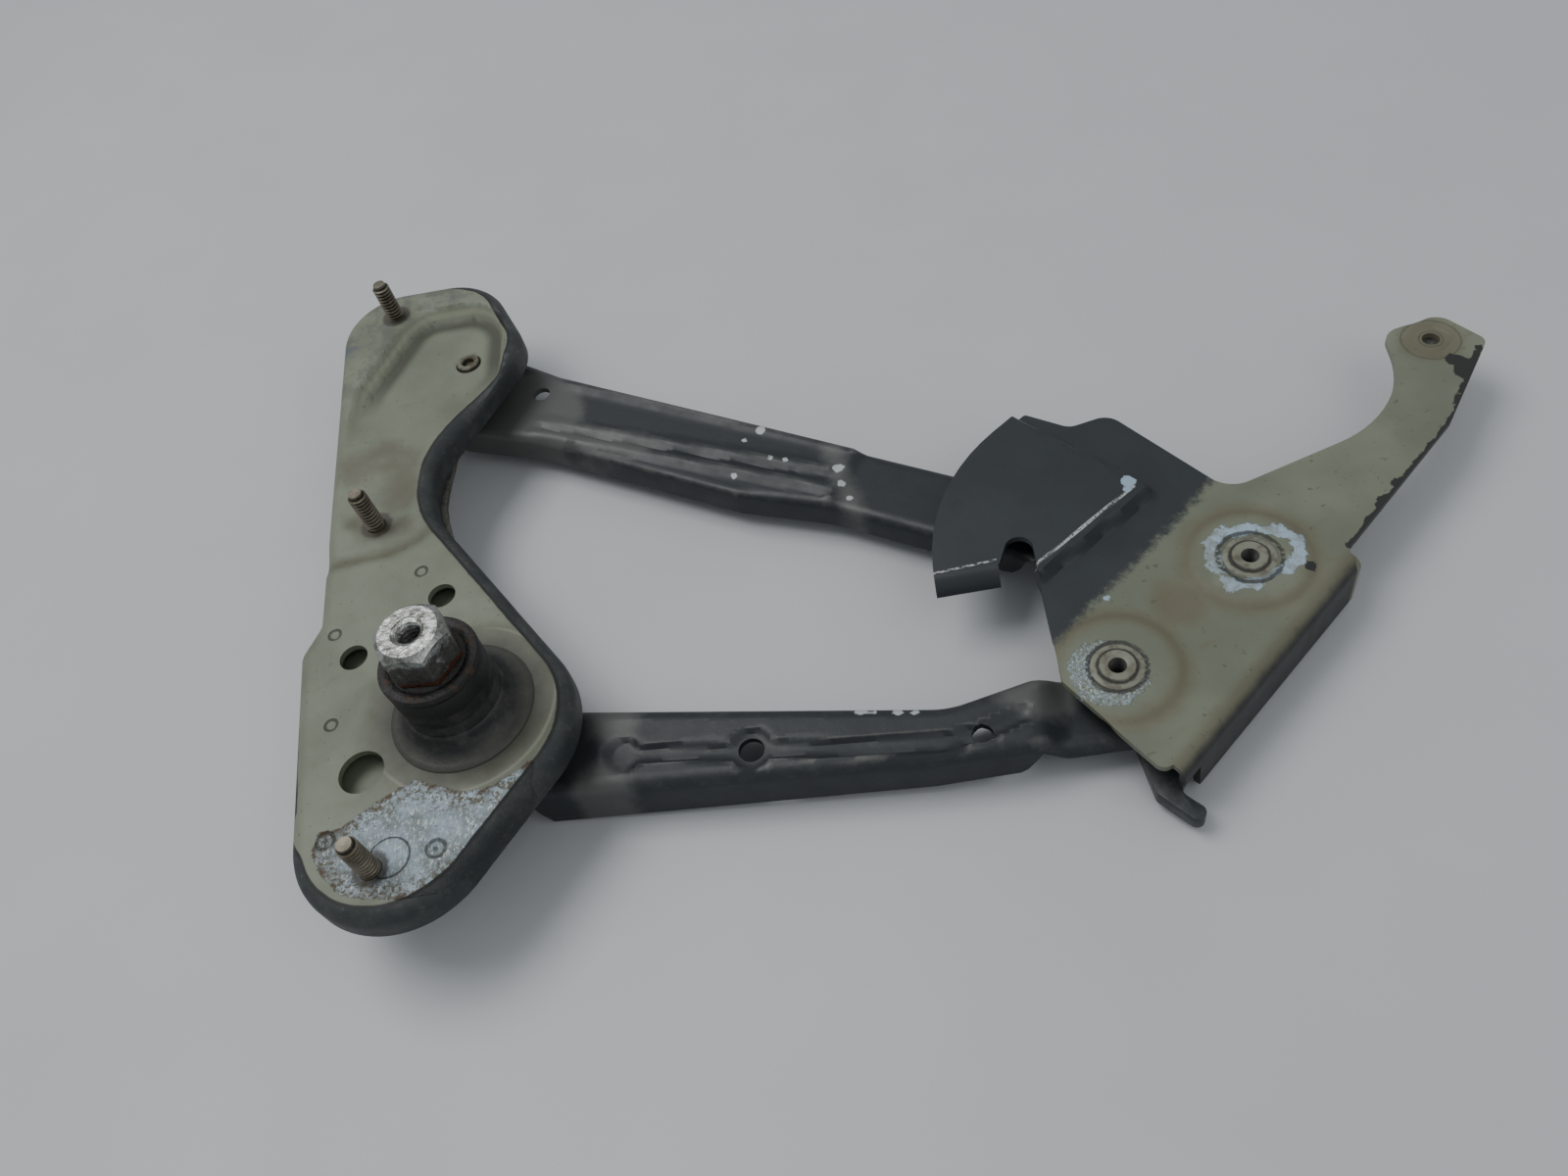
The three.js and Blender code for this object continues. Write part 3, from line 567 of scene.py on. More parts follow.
bm = blank(PAN, 0.0, PAN_ROUND, 1.6)
press(bm, pan_height)
hang(bm, lambda x, y: PAN_BOTTOM)
pan_holes = [(SHAFT[0] - 27, SHAFT[1] - 16.2, 6.5), (SHAFT[0] - 35.6, SHAFT[1] + 22.8, 4.25),
             (SHAFT[0] - 10.9, SHAFT[1] + 40.7, 4.25), (*SHAFT, 13.8), (*REAR_PIVOT, 4.3)]
settle(
    piece("pan_looks", bm), pan_material, "base", ["base_pan"],
    holes=pan_holes + [(x, y, 3.1) for x, y in STUDS], thickness=SHEET,
    soft=[("beyond", beyond_face),
          ("bare", lambda x, y, z: depth_inside(x, y, pan_bare)),
          ("stud", near_stud), ("dish", dish_depth), ("far", dish_end), ("stains", pan_stains)])

# ================================================================= studs
# Steel weld studs, M6 with a coarse thread and a chamfered end. Their heads are welded under the
# pan, and the plating has gone brown-grey.


def lathe(name, profile, x=0.0, y=0.0, steps=64):
    """Piece turned about an upright axis at (x, y) from a run of (radius, height) pairs."""
    bm = bmesh.new()
    verts = [bm.verts.new((r, 0, z)) for r, z in profile]
    edges = [bm.edges.new(pair) for pair in zip(verts, verts[1:])]
    bmesh.ops.spin(
        bm, geom=[*verts, *edges], cent=(0, 0, 0), axis=(0, 0, 1), angle=2 * math.pi,
        steps=steps, use_merge=True)
    bmesh.ops.remove_doubles(bm, verts=bm.verts, dist=1e-4)
    return piece(name, bm, (x, y))


def thread(major, low, high, pitch=1.0, depth=0.55):
    """Crests and roots of a thread between two heights, from below upwards."""
    turns = int(round((high - low) / pitch))
    run = []
    for k in range(turns):
        base = low + k * (high - low) / turns
        run += [(major - depth, base), (major, base + 0.4 * pitch), (major, base + 0.6 * pitch)]
    return run + [(major - depth, high)]


STUD_RADIUS = 2.95
STUD_TOP = 15.0
paint = Paint("stud_steel_worn", 0.45, 0.7)
brown = paint.mix(paint.step(paint.noise(5, 3), 0.35, 0.65), "7f796c", "615a4d")
# Painted shade: the roots of the thread are painted dark.
shaded_roots = paint.mix(paint.step(paint.given("axle"), 2.75, 2.3), brown, "29241c")
colour = paint.mix(paint.both(paint.step(paint.noise(0.9, 3), 0.6, 0.7), 0.3), shaded_roots, "a49d8d")
stud_material = paint.finish(
    colour, paint.level(paint.noise(2, 3), 0.35, 0.65), None, paint.grain(0.3, 0.04, 2, 0.06))
for i, (x, y) in enumerate(STUDS, 1):
    profile = [(0, -4.3), (6, -4.3), (6, -2.3), (STUD_RADIUS, -2.3), (STUD_RADIUS, 0.3)]
    profile += thread(STUD_RADIUS, 0.6, STUD_TOP - 1.2, 1.35, 0.75)
    profile += [(STUD_RADIUS - 0.9, STUD_TOP), (0, STUD_TOP)]
    settle(lathe(f"stud_looks_{i}", profile, x, y, 40), stud_material, "base",
           [f"mounting_stud_{i}"], sharp=30,
           soft=[("axle", lambda a, b, c, x=x, y=y: math.hypot(a - x, b - y) if c < STUD_TOP - 1 else 3)])

# ================================================================= bearing housing and shaft seal
# A turned steel sleeve with a shallow groove above its flared foot. Its paint is dark and dusty, with
# painted shade up by the collar and the foot painted lighter towards its edge, and has a ragged ring of
# old grease round the top.

HOUSING_TOP = 22.0
FOOT_RADIUS = 20.5
paint = Paint("sleeve_paint", 0.6, 0.15)
height = paint.given("height")
dusty = paint.mix(paint.step(paint.noise(7, 5, 0.7), 0.4, 0.7), "1e1f1f", "3c3b37")
# Painted shade: the foot is lighter towards its edge and stays dark up by the collar.
collar_shaded_foot = paint.mix(
    paint.both(paint.step(height, 3.4, 0.4), paint.level(paint.noise(6, 4), 0.45, 1.0)), dusty, "44443c")
greased = paint.mix(paint.ragged(paint.calc("SUBTRACT", height, 15.5), 5, 3.5, 1.0), collar_shaded_foot, SOOT)
sleeve_material = paint.finish(
    greased, paint.level(paint.noise(4, 4), 0.35, 0.75), None, paint.grain(0.8, 0.1, 5, 0.3))
profile = [
    (11.1, -16), (13.5, -16), (13.5, 0.3), (FOOT_RADIUS, 0.3), (FOOT_RADIUS - 0.3, 0.7),
    (FOOT_RADIUS - 1.6, 1.1), (17.4, 1.8), (16.1, 2.9), (15.1, 4.3), (14.4, 5.6), (14.2, 6.4), (13.6, 6.9),
    (13.5, 9.6), (13.1, 10.2), (13.1, 10.9), (13.6, 12), (13.75, 18.5), (13.75, 20.8), (13.5, 21.6),
    (12.9, HOUSING_TOP), (11.1, HOUSING_TOP), (11.1, -16)]
settle(lathe("housing_looks", profile, *SHAFT), sleeve_material, "base", ["bearing_housing"],
       soft=[("height", lambda x, y, z: z)])

paint = Paint("greasy_rubber", 0.75)
oily = paint.mix(paint.step(paint.noise(3, 5, 0.75), 0.5, 0.66), "0d0c0b", "3b2a1c")
rubber_material = paint.finish(
    oily, paint.level(paint.noise(3, 3), 0.3, 0.9), None, paint.grain(0.7, 0.2, 2.5, 0.5))
profile = [
    (8.8, 22.3), (13.4, 22.3), (13.9, 22.7), (13.9, 23.6), (13.5, 24.3), (12.4, 24.7), (11.2, 24.5),
    (10.4, 24.0), (9.6, 24.6), (8.8, 24.7), (8.8, 22.3)]
settle(lathe("seal_looks", profile, *SHAFT), rubber_material, "base", ["shaft_seal"])

# ================================================================= rear pivot rivet
# Steel shoulder rivet closed over in the pan's dish. Only its small collar with a centre hole shows,
# bare and dull with a brown ring round it.

paint = Paint("dull_steel", 0.5, 0.75)
tarnish = paint.mix(paint.step(paint.noise(4, 5, 0.7), 0.38, 0.66), "77766a", "4d4637")
steel_material = paint.finish(
    tarnish, paint.level(paint.noise(2, 3), 0.35, 0.65), None, paint.grain(0.4, 0.04, 2, 0.08))
profile = [
    (0, -25.6), (7.4, -25.6), (8, -25), (8, -23.2), (5, -23.2), (5, -18.7), (8, -18.7), (8, -6.3), (4, -6.3),
    (4, -4.1), (3.7, -3.8), (2.4, -3.8), (2, -4.2), (2, -5.8), (0, -5.8)]
settle(lathe("rivet_looks", profile, *REAR_PIVOT), steel_material, "base", ["rear_pivot_rivet"])

# ================================================================= drive shaft
# Forged steel shaft with a zinc-plated hexagon for the drive and a tapped hole in its end. The flats
# carry black grease, and rust has started at the foot of the hexagon.

HEX_FLATS = 18.0
HEX_TOP = 37.0
HEX_FOOT = 25.0
HEX_TURN = math.radians(-4.4 + 30)
paint = Paint("bright_zinc", 0.3, 0.9)
bright = paint.mix(paint.step(paint.noise(3, 5, 0.7), 0.35, 0.65), "b4b6b3", "6f6f69")
low = paint.given("height")
grease = paint.both(paint.ragged(paint.calc("SUBTRACT", 33.6, low), 2.2, 3.0, 0.8),
                    paint.step(paint.noise(3.2, 5, 0.75), 0.3, 0.44))
grimy = paint.mix(paint.both(grease, 0.9), bright, "231f1a")
rusty = paint.mix(paint.ragged(paint.calc("SUBTRACT", 26.4, low), 1.6, 1.2, 0.4), grimy, "4a2c1f")
hex_material = paint.finish(
    rusty, paint.level(paint.noise(2.5, 4), 0.18, 0.5),
    paint.level(grease, 0.95, 0.1), paint.grain(0.6, 0.08, 2.2, 0.3))
bm = bmesh.new()
bmesh.ops.create_cone(
    bm, cap_ends=True, segments=6, radius1=HEX_FLATS / 2 / math.cos(math.pi / 6),
    radius2=HEX_FLATS / 2 / math.cos(math.pi / 6), depth=HEX_TOP - HEX_FOOT,
    matrix=Matrix.Translation((0, 0, (HEX_TOP + HEX_FOOT) / 2)) @ Matrix.Rotation(HEX_TURN, 4, "Z"))
uprights = [e for e in bm.edges if abs(e.verts[0].co.z - e.verts[1].co.z) > 1]
bmesh.ops.bevel(bm, geom=uprights, offset=0.5, segments=3, affect="EDGES", profile=0.5, material=-1)
hexagon = piece("shaft_looks", bm, SHAFT)
profile = [(0, 5), (12, 5), (12, HEX_TOP - 3.2), (8.6, HEX_TOP - 0.5), (8.0, HEX_TOP), (0, HEX_TOP)]
cone = lathe("cone", profile, *SHAFT)
profile = [(0, HEX_TOP + 1), (4.6, HEX_TOP + 1), (4.5, HEX_TOP - 0.2)]
profile += [(r, z) for r, z in reversed(thread(4.2, HEX_TOP - 15, HEX_TOP - 0.6, 1.5, 0.8))]
profile += [(0, HEX_TOP - 15.5)]
tapped = lathe("tapped", profile, *SHAFT, steps=40)
profile = [
    (0, -31.7), (7.8, -31.7), (8.5, -31), (8.5, -29.6), (7.2, -29.6), (7.2, -27.6), (8.5, -27.6),
    (8.5, HEX_FOOT + 0.6), (8.2, HEX_FOOT + 1.2), (0, HEX_FOOT + 1.2)]
journal = lathe("journal", profile, *SHAFT)
for tool, way in ((cone, "INTERSECT"), (journal, "UNION"), (tapped, "DIFFERENCE")):
    cut = hexagon.modifiers.new(way, "BOOLEAN")
    cut.object = tool
    cut.operation = way
    cut.solver = "EXACT"
settle(hexagon, hex_material, "front_link", ["drive_shaft"], sharp=28,
       soft=[("height", lambda x, y, z: z)])
for tool in (cone, journal, tapped):
    bpy.data.objects.remove(tool)

# ================================================================= front arm
# Channel pressed from 2 mm sheet and welded to the drive shaft. A long sunken bead with a keyhole end
# runs through both of its holes, and the far end steps down to pass under the bracket's insert.

FRONT_LINK = 189.8
FRONT_PIN = (217.49, -28.76)
FRONT_SLOPE = math.radians(-4.4)
ARM_TOP = -19.0
ARM_ROUND = 4.0
FRONT_END_TOP = -24.3
FRONT_JOGGLE = FRONT_LINK - 36
FRONT_HOLES = [(104.8, -28.5), (167.6, -33.8)]
front_bead = unseat(
    [(68.5, -25), (74.4, -25.3), (99.3, -28.6), (104.8, -28.9), (111, -29.8), (129.7, -32.4), (155.8, -34.8),
     (168, -33.4), (179, -29.5)], SHAFT, FRONT_SLOPE)
front_hole_1, front_hole_2 = unseat(FRONT_HOLES, SHAFT, FRONT_SLOPE)
FRONT = belt([
    (0.3, -4, 15),
    (FRONT_LINK - 63.6, -7.8, 9),
    (FRONT_LINK, 0, 11),
    (FRONT_LINK - 28, -0.3, 10),
    (FRONT_LINK - 61, 26, -25),
])


def front_height(x, y):
    joggle = (FRONT_END_TOP - ARM_TOP) * smooth((x - FRONT_JOGGLE) / 10)
    bead = 1 - smooth((off_path(x, y, front_bead) - 1.7) / 1.5)
    head = 1 - smooth((math.hypot(x - front_bead[0][0], y - front_bead[0][1]) - 4.4) / 1.4)
    collar = 1 - smooth((math.hypot(x - front_hole_1[0], y - front_hole_1[1]) - 5.2) / 1.4)
    return joggle - 1.5 * max(bead * smooth((FRONT_LINK - 20 - x) / 12), head, collar)


def front_bottom(x, y):
    if not 13 < x < FRONT_JOGGLE + 2:
        return None
    straight = ARM_TOP - 16 + 3 * (x - 19) / (FRONT_JOGGLE - 25)
    return max(straight, ARM_TOP - 5 - 1.6 * (FRONT_JOGGLE + 2 - x), ARM_TOP - 5 - 3 * (x - 13))


def spots(places):
    """Distance inside the nearest of several round spots (x, y, r)."""
    return lambda x, y, z: max(r - math.hypot(x - a, y - b) for a, b, r in places)


def arm_paint(name):
    paint = Paint(name)
    base = paint.dark()
    dust = paint.both(paint.ragged(paint.given("dust"), 9, 4.0, 3.0), 0.6)
    base = paint.mix(dust, base, "5d5e5b")
    chip = paint.ragged(paint.given("chip"), 2.2, 0.9, 0.15)
    scuffed = paint.mix(chip, base, "a9adad")
    return paint.finish(
        scuffed, paint.level(paint.noise(8, 4), 0.34, 0.62), None, paint.grain(0.5, 0.03, 7, 0.14))


front_chips = [
    (135.5, -21.7, 1.6), (139, -22.3, 1.2), (146, -23.5, 1.6), (151, -24.6, 1.3), (132.5, -41, 0.6)]


def front_dust(x, y, z):
    return spots([(184, -19, 12), (62, -35, 8), (66, -14, 7)])(x, y, z)


bm = blank(FRONT, ARM_TOP, ARM_ROUND, 1.3, 4)
press(bm, front_height)
hang(bm, front_bottom)
settle(
    piece("front_arm_looks", bm, SHAFT, FRONT_SLOPE), arm_paint("front_arm_paint"),
    "front_link", ["front_arm"],
    holes=[(*SHAFT, 8.8), (*FRONT_HOLES[0], 3.7), (*FRONT_HOLES[1], 3.0), (*FRONT_PIN, 6.1)],
    thickness=SHEET, soft=[("chip", spots(front_chips)), ("dust", front_dust)])

# ================================================================= rear arm
# The longer channel, with two raised ribs along it that end at a step down. Its paint is dusty near
# the base, rubbed along the ribs and chipped to pale zinc in a few places.

REAR_PIN = (225.99, 15.74)
REAR_LINE = (REAR_PIN[0] - REAR_PIVOT[0], REAR_PIN[1] - REAR_PIVOT[1])
REAR_LINK = math.hypot(*REAR_LINE)
REAR_SLOPE = math.atan2(REAR_LINE[1], REAR_LINE[0])
REAR_END_TOP = -21.0
REAR_STEP = REAR_LINK - 103
REAR_HOLE = 8.7
ribs = [[(26, -6.5), (33, -5.5), (REAR_STEP - 4, 3)], [(30, -11.6), (36, -11), (REAR_STEP + 1, -3.9)]]
REAR = belt([
    (0, 0, 19),
    (34, -14.2, 0),
    (REAR_LINK - 132, -15.2, 0),
    (REAR_LINK - 100, -10.6, 0),
    (REAR_LINK, 0, REAR_HOLE + 3.8),
    (24, 16, 0),
])


def rear_height(x, y):
    stepped = (REAR_END_TOP - ARM_TOP) * smooth((x - REAR_STEP) / 5)
    ribbed = smooth((x - 24) / 14) * smooth((REAR_STEP + 3 - x) / 5)
    crest = max(1 - smooth((off_path(x, y, rib) - 0.8) / 2.2) for rib in ribs)
    return stepped - 1.3 * ribbed * (1 - crest) * (1 - smooth((abs(y + 1) - 11) / 4))


def rear_bottom(x, y):
    if x > REAR_LINK - 36:
        return None
    return max(ARM_TOP - 11, REAR_END_TOP - 4 - (REAR_LINK - 36 - x))


rear_chips = [
    (112.7, 92.1, 1.8), (107.1, 89.2, 1.2), (115.4, 78.2, 1.1), (120.4, 76.2, 1.0), (137.1, 69.6, 1.9),
    (103, 73.5, 1.2), (137.5, 63, 1.4), (139.5, 57, 1.2)]


def rear_dust(x, y, z):
    return max(24 - math.hypot(x - 26, y - 116), 5 - off_path(x, y, [(36, 110), (70, 94)]),
               3 - off_path(x, y, [(135, 77), (141, 50)]))


bm = blank(REAR, ARM_TOP, 3.0, 1.5, 4)
press(bm, rear_height)
flatten(bm, REAR_LINK - 38, REAR_END_TOP)
hang(bm, rear_bottom)
settle(
    piece("rear_arm_looks", bm, REAR_PIVOT, REAR_SLOPE), arm_paint("rear_arm_paint"),
    "rear_link", ["rear_arm"],
    holes=[(*REAR_PIVOT, 7.1), (*REAR_PIN, REAR_HOLE), (34.9, 127.2, 3)],
    thickness=SHEET, soft=[("chip", spots(rear_chips)), ("dust", rear_dust)])

# ================================================================= lid bracket
# The bracket is one 2 mm pressing: a raised cover with a turned-down lip, a flat with two inserts, an
# arm with an eyelet, and a rounded skirt. Primer sage outside, sprayed dark over the cover.

BRACKET_TOP = -16.0
COVER_RISE = 4.0
BEND = 4.0
INSERTS = [(205.49, -21.86), (247.89, 7.24)]
EYELET = (321.49, 78.64)


def off_front(x, y, r=0):
    return (FRONT_PIN[0] + x, FRONT_PIN[1] + y, r)


def off_rear(x, y, r=0):
    return (REAR_PIN[0] + x, REAR_PIN[1] + y, r)


skirt_from = off_front(-3.6, -23.9, 3)
skirt_to = off_rear(49.5, -13.8, 1.2)
skirt_run = Vector((skirt_to[0] - skirt_from[0], skirt_to[1] - skirt_from[1]))
skirt_heading = math.atan2(skirt_run.y, skirt_run.x)
skirt_heading -= math.asin((skirt_to[2] - skirt_from[2]) / skirt_run.length)
outward = Vector((math.sin(skirt_heading), -math.cos(skirt_heading)))
along = Vector((math.cos(skirt_heading), math.sin(skirt_heading)))
skirt_start = Vector(skirt_from[:2]) + skirt_from[2] * outward
inward = -BEND * outward
BRACKET = belt([
    (skirt_from[0] + inward.x, skirt_from[1] + inward.y, skirt_from[2]),
    (skirt_to[0] + inward.x, skirt_to[1] + inward.y, skirt_to[2]),
    off_rear(48.8, -9.3),
    off_rear(89, 29),
    off_rear(106.5, 59, 3.2),
    off_rear(98.5, 66, 6),
    off_rear(89, 64, 6),
    off_rear(46.5, 62.5, -36.3),
    off_rear(26.5, 27.5, -9),
    off_rear(-6.5, 46.5, 6.5),
    off_rear(-15, 57, -5.5),
    off_rear(-28.5, 58.1, 1.2),
    off_rear(0, 0, 64.5),
    off_rear(-64.6, -0.6),
    off_rear(-46.5, 0.8, 1),
    off_rear(-39.5, 4.5, -4),
    off_front(-24.5, 5.5, 2.5),
])
COVER = belt([off_rear(-1.5, 20, 2.5), off_rear(-76, 104, 0.5), off_rear(-110, -54, 0.5)])
SAGE = [
    (178, -26), (189.45, -12.8), (199.45, -3.8), (208.45, 4.2), (215.45, 9.2), (225.45, 18.2),
    (235.45, 27.2), (244.45, 36.2), (252, 44), (268, 70), (400, 200), (400, -200), (150, -200)]


def skirt_place(x, y):
    """How far along the skirt's line a point is, and how far outside it."""
    offset = Vector((x, y)) - skirt_start
    return offset.dot(along), offset.dot(outward)


def bracket_height(x, y):
    cover = COVER_RISE * smooth((depth_inside(x, y, COVER) + 1.8) / 3.2)
    lands = 0.7 * max(1 - smooth((math.hypot(x - a, y - b) - r) / 4) for (a, b), r in zip(INSERTS, (15, 14)))
    dx, dy = x - EYELET[0], y - EYELET[1]
    around = math.hypot(dx, dy)
    square = max(abs(dx * 0.8 + dy * 0.6), abs(dy * 0.8 - dx * 0.6))
    eyelet = -0.5 * smooth(1 - abs(square - 5) / 1.0) - 0.4 * smooth(1 - abs(around - 8.2) / 1.2)
    bump = 0.6 * (1 - smooth((math.hypot(x - 239.5, y - 1.5) - 2) / 1.5))
    return cover + lands + (eyelet if around < 12 else 0) + bump


paint = Paint("bracket_paint")
sage = paint.primer()
sage = paint.mix(paint.both(paint.ragged(paint.given("stains"), 6, 0.7, 0.8), 0.5), sage, "5a4c36")
ring = paint.ragged(paint.calc("MINIMUM", paint.given("bare"), 2.2), 5, 4.5, 0.3)
crumbs = paint.both(ring, paint.step(paint.noise(0.9, 5, 0.8), 0.45, 0.52))
smooth_zinc = paint.mix(paint.step(paint.noise(6, 5, 0.7), 0.4, 0.6), "9fb2c0", "87908f")
pitted = paint.mix(paint.step(paint.given("second"), 0.4, 0.6), paint.corroded(), smooth_zinc)
sage = paint.mix(paint.calc("MAXIMUM", crumbs, paint.both(ring, paint.given("second"))), sage, pitted)
lands = paint.most([paint.ring(x, y, 16.5, 2.2) for x, y in INSERTS])
sage = paint.mix(paint.both(lands, 0.22), sage, "4c4733")
press_rings = paint.most(
    [paint.ring(x, y, 7.5, 0.5) for x, y in INSERTS]
    + [paint.ring(*EYELET, 8.4, 0.5), paint.ring(*EYELET, 3.4, 0.5)])
sage = paint.mix(paint.both(press_rings, 0.5), sage, "33332c")
dark_ring = paint.ragged(paint.given("darkened"), 2, 0.5, 0.25)
sage = paint.mix(paint.both(dark_ring, 0.85), sage, "2c2c28")
wander = paint.both(paint.calc("SUBTRACT", paint.noise(2.4, 6, 0.8), 0.5), 9.0)
feather = paint.step(paint.calc("ADD", paint.given("sage"), wander), -2.0, 2.0)
satin = paint.mix(paint.step(paint.noise(30, 3), 0.4, 0.7), "202528", "262b2f")
colour = paint.mix(feather, satin, sage)
bent = paint.given("bent")
browned = paint.mix(paint.both(paint.step(bent, -7.0, -2.0), 0.55), colour, "4f4632")
bent_unevenly = paint.calc("ADD", bent, paint.both(paint.noise(6, 5, 0.75), 3.0))
skirted = paint.mix(paint.step(bent_unevenly, -1.5, 2.0), browned, "1d1f1e")
# Painted highlights: bright broken lines along the cover's step and the lip's fold; the third line, by the
# edge of the sage, is a score.
highlight_and_score = paint.both(
    paint.step(paint.given("highlight_and_score"), 0.0, 0.25), paint.step(paint.noise(0.7, 4, 0.8), 0.4, 0.52))
highlighted_and_scored = paint.mix(highlight_and_score, skirted, "b0b2b0")
chipped = paint.mix(paint.ragged(paint.given("chip"), 3.0, 1.6, 0.15), highlighted_and_scored, "20221f")
pale = paint.mix(paint.ragged(paint.given("pale"), 2.0, 0.8, 0.15), chipped, "8fa3b5")
bracket_material = paint.finish(
    pale, paint.level(paint.noise(6, 4), 0.36, 0.6), paint.both(ring, 0.2),
    paint.bump(paint.both(ring, paint.noise(0.8, 4, 0.7)), 0.4, paint.grain(0.6, 0.03, 9, 0.12)))


def ring_round(x, y, z):
    (ax, ay), (bx, by) = INSERTS
    one = math.hypot(x - ax, y - ay)
    turn = math.atan2(y - by, x - bx)
    lobes = 1.6 * math.cos(2 * turn - 0.6) + 1.1 * math.cos(3 * turn)
    two = math.hypot(x - bx - 0.8, y - by - 1) - lobes
    crumbly = 3.2 * math.cos(math.atan2(y - ay, x - ax) - math.radians(205))
    return max(min(one - 7.6, 10.2 + crumbly - one), min(two - 8.4, 12.2 - two))


def soot_round(x, y, z):
    return max(0.7 - abs(math.hypot(x - a, y - b) - r) for (a, b), r in zip(INSERTS, (7.8, 8.6)))


def bracket_stains(x, y, z):
    lands = [abs(math.hypot(x - a, y - b) - 17) for a, b in INSERTS]
    return max(2.2 - min(lands), spots([(226, -4, 8), (*EYELET, 9)])(x, y, z)) / 4


def chipped_edge(x, y, z):
    edge = off_path(x, y, [(274.8, 6.4), (315, 44.7), (333, 72)])
    patches = spots([(327.5, 64, 4.6), (324.8, 68.5, 2.6), (283, 13.5, 2.6), (288, 19, 2.8), (294, 25.5, 2.2),
                     (262.5, 1.5, 1.6), (270, 9, 0.5)])(x, y, z)
    return max(1.1 - edge, patches)


# Lines for painted highlights along the cover's step and the lip's fold, and a score by the edge of the sage.
def highlight_and_score_lines(x, y, z):
    step = 0.7 - off_path(x, y, [(187.5, 11.5), (222.5, 36.3)])
    lip = 0.5 - off_path(x, y, [(161.5, 15.8), (180, 17.3)])
    score = 0.4 - off_path(x, y, [(189.45, -11.8), (199.45, -3.8)])
    return max(step, lip, score)


STEP_SLOPE = math.radians(38)
bm = blank(unseat(BRACKET, REAR_PIN, STEP_SLOPE), BRACKET_TOP, 0, 1.2)
bmesh.ops.transform(
    bm, verts=bm.verts,
    matrix=Matrix.Translation((*REAR_PIN, 0)) @ Matrix.Rotation(STEP_SLOPE, 4, "Z"))
press(bm, bracket_height)
# skirt: the straight outer edge is bent down round BEND, then runs on down
HOOK_ROOM = 6.5
edge = [e for e in bm.edges if e.is_boundary
        and all(abs(skirt_place(*v.co.xy)[1] + BEND) < 0.05 for v in e.verts)
        and skirt_place(*((e.verts[0].co + e.verts[1].co) / 2).xy)[0] > -1]
BEND_STEPS = 6
SKIRT_ROWS = 3
SKIRT_ROW = 14.0 / SKIRT_ROWS
SKIRT_ROW_AT_HOOK = 0.8
for k in range(BEND_STEPS + SKIRT_ROWS):
    edge = drawn_out(bm, edge)
    for v in {v for e in edge for v in e.verts}:
        if k < BEND_STEPS:
            a, b = (math.pi / 2 * (k + i) / BEND_STEPS for i in (0, 1))
            shift = outward * BEND * (math.sin(b) - math.sin(a))
            v.co += Vector((shift.x, shift.y, BEND * (math.cos(b) - math.cos(a))))
        else:
            v.co.z -= SKIRT_ROW if skirt_place(*v.co.xy)[0] > HOOK_ROOM else SKIRT_ROW_AT_HOOK
# lip: the near edge of the cover is turned down outwards
edge = [e for e in bm.edges if e.is_boundary and all(
    off_path(v.co.x, v.co.y, [off_rear(-64.6, -0.6)[:2], off_rear(-46.4, -0.2)[:2]]) < 0.3 for v in e.verts)]
for away, down in ((0.9, 0.15), (0.8, 0.5), (1.3, 1.6), (1.2, 1.8), (0.2, 1.2)):
    edge = drawn_out(bm, edge)
    for v in {v for e in edge for v in e.verts}:
        v.co += Vector((0, -away, -down))
settle(
    piece("bracket_looks", bm), bracket_material, "lid_carrier", ["lid_bracket"],
    holes=[(x, y, 5.3) for x, y in INSERTS] + [(*EYELET, 2.6)], thickness=SHEET,
    soft=[("sage", lambda x, y, z: depth_inside(x, y, SAGE)), ("bare", ring_round), ("darkened", soot_round),
          ("second", lambda x, y, z: smooth((x - 222) / 8)),
          ("bent", lambda x, y, z: skirt_place(x, y)[1] + max(0, BRACKET_TOP - 1 - z) * 0.5
           if x < 275 else -9.0),
          ("stains", bracket_stains), ("chip", chipped_edge), ("highlight_and_score", highlight_and_score_lines),
          ("pale", spots([(221.5, 38.5, 2.2), (220.5, 35.5, 1.2), (207.5, 1.2, 1.0), (243, -10, 0.5)]))])

# ================================================================= inserts and eyelet nut
# Threaded steel inserts pressed into the bracket: a thin wide flange, a raised collar and an M6
# thread, painted over in sage with a dark ring where water has sat, and painted shade down the bore.

paint = Paint("insert_paint", 0.5)
sage = paint.mix(paint.step(paint.noise(3, 4), 0.4, 0.7), "77786a", "5a5648")
# Painted shade: the threaded bore is painted dark below its mouth, beside the dark water ring.
ringed_and_bore_shaded = paint.mix(paint.ragged(paint.given("darkened"), 2, 0.6, 0.3), sage, "33312b")
insert_material = paint.finish(
    ringed_and_bore_shaded, paint.level(paint.noise(3, 4), 0.35, 0.6), None, paint.grain(0.4, 0.04, 2, 0.1))


def insert_looks(i, x, y):
    bore = [(2.4, -23.3)] + thread(3.0, -23, -14.6, 1.0, 0.55)
    profile = bore + [
        (3.3, -14.3), (4.7, -14.35), (5.1, -14.8), (5.3, -15.05), (6.6, -15.1), (7.1, -15.25), (7.25, -15.6),
        (7.25, -15.75), (5, -15.75), (5, -23.3), (2.4, -23.3)]
    settle(
        lathe(f"insert_looks_{i}", profile, x, y, 48), insert_material, "lid_carrier",
        [f"lid_insert_{i}"],
        soft=[("darkened", lambda a, b, c: max(0.45 - abs(math.hypot(a - x, b - y) - 5.3), -14.9 - c
                                           if math.hypot(a - x, b - y) < 3.3 else -9))])


for i, (x, y) in enumerate(INSERTS, 1):
    insert_looks(i, x, y)

# ================================================================= pivot plate and its hook
# A 5 mm plate carries both pins under the bracket. Its front end sticks out past the skirt as a
# thick rounded hook, painted dark and rubbed at the tip.

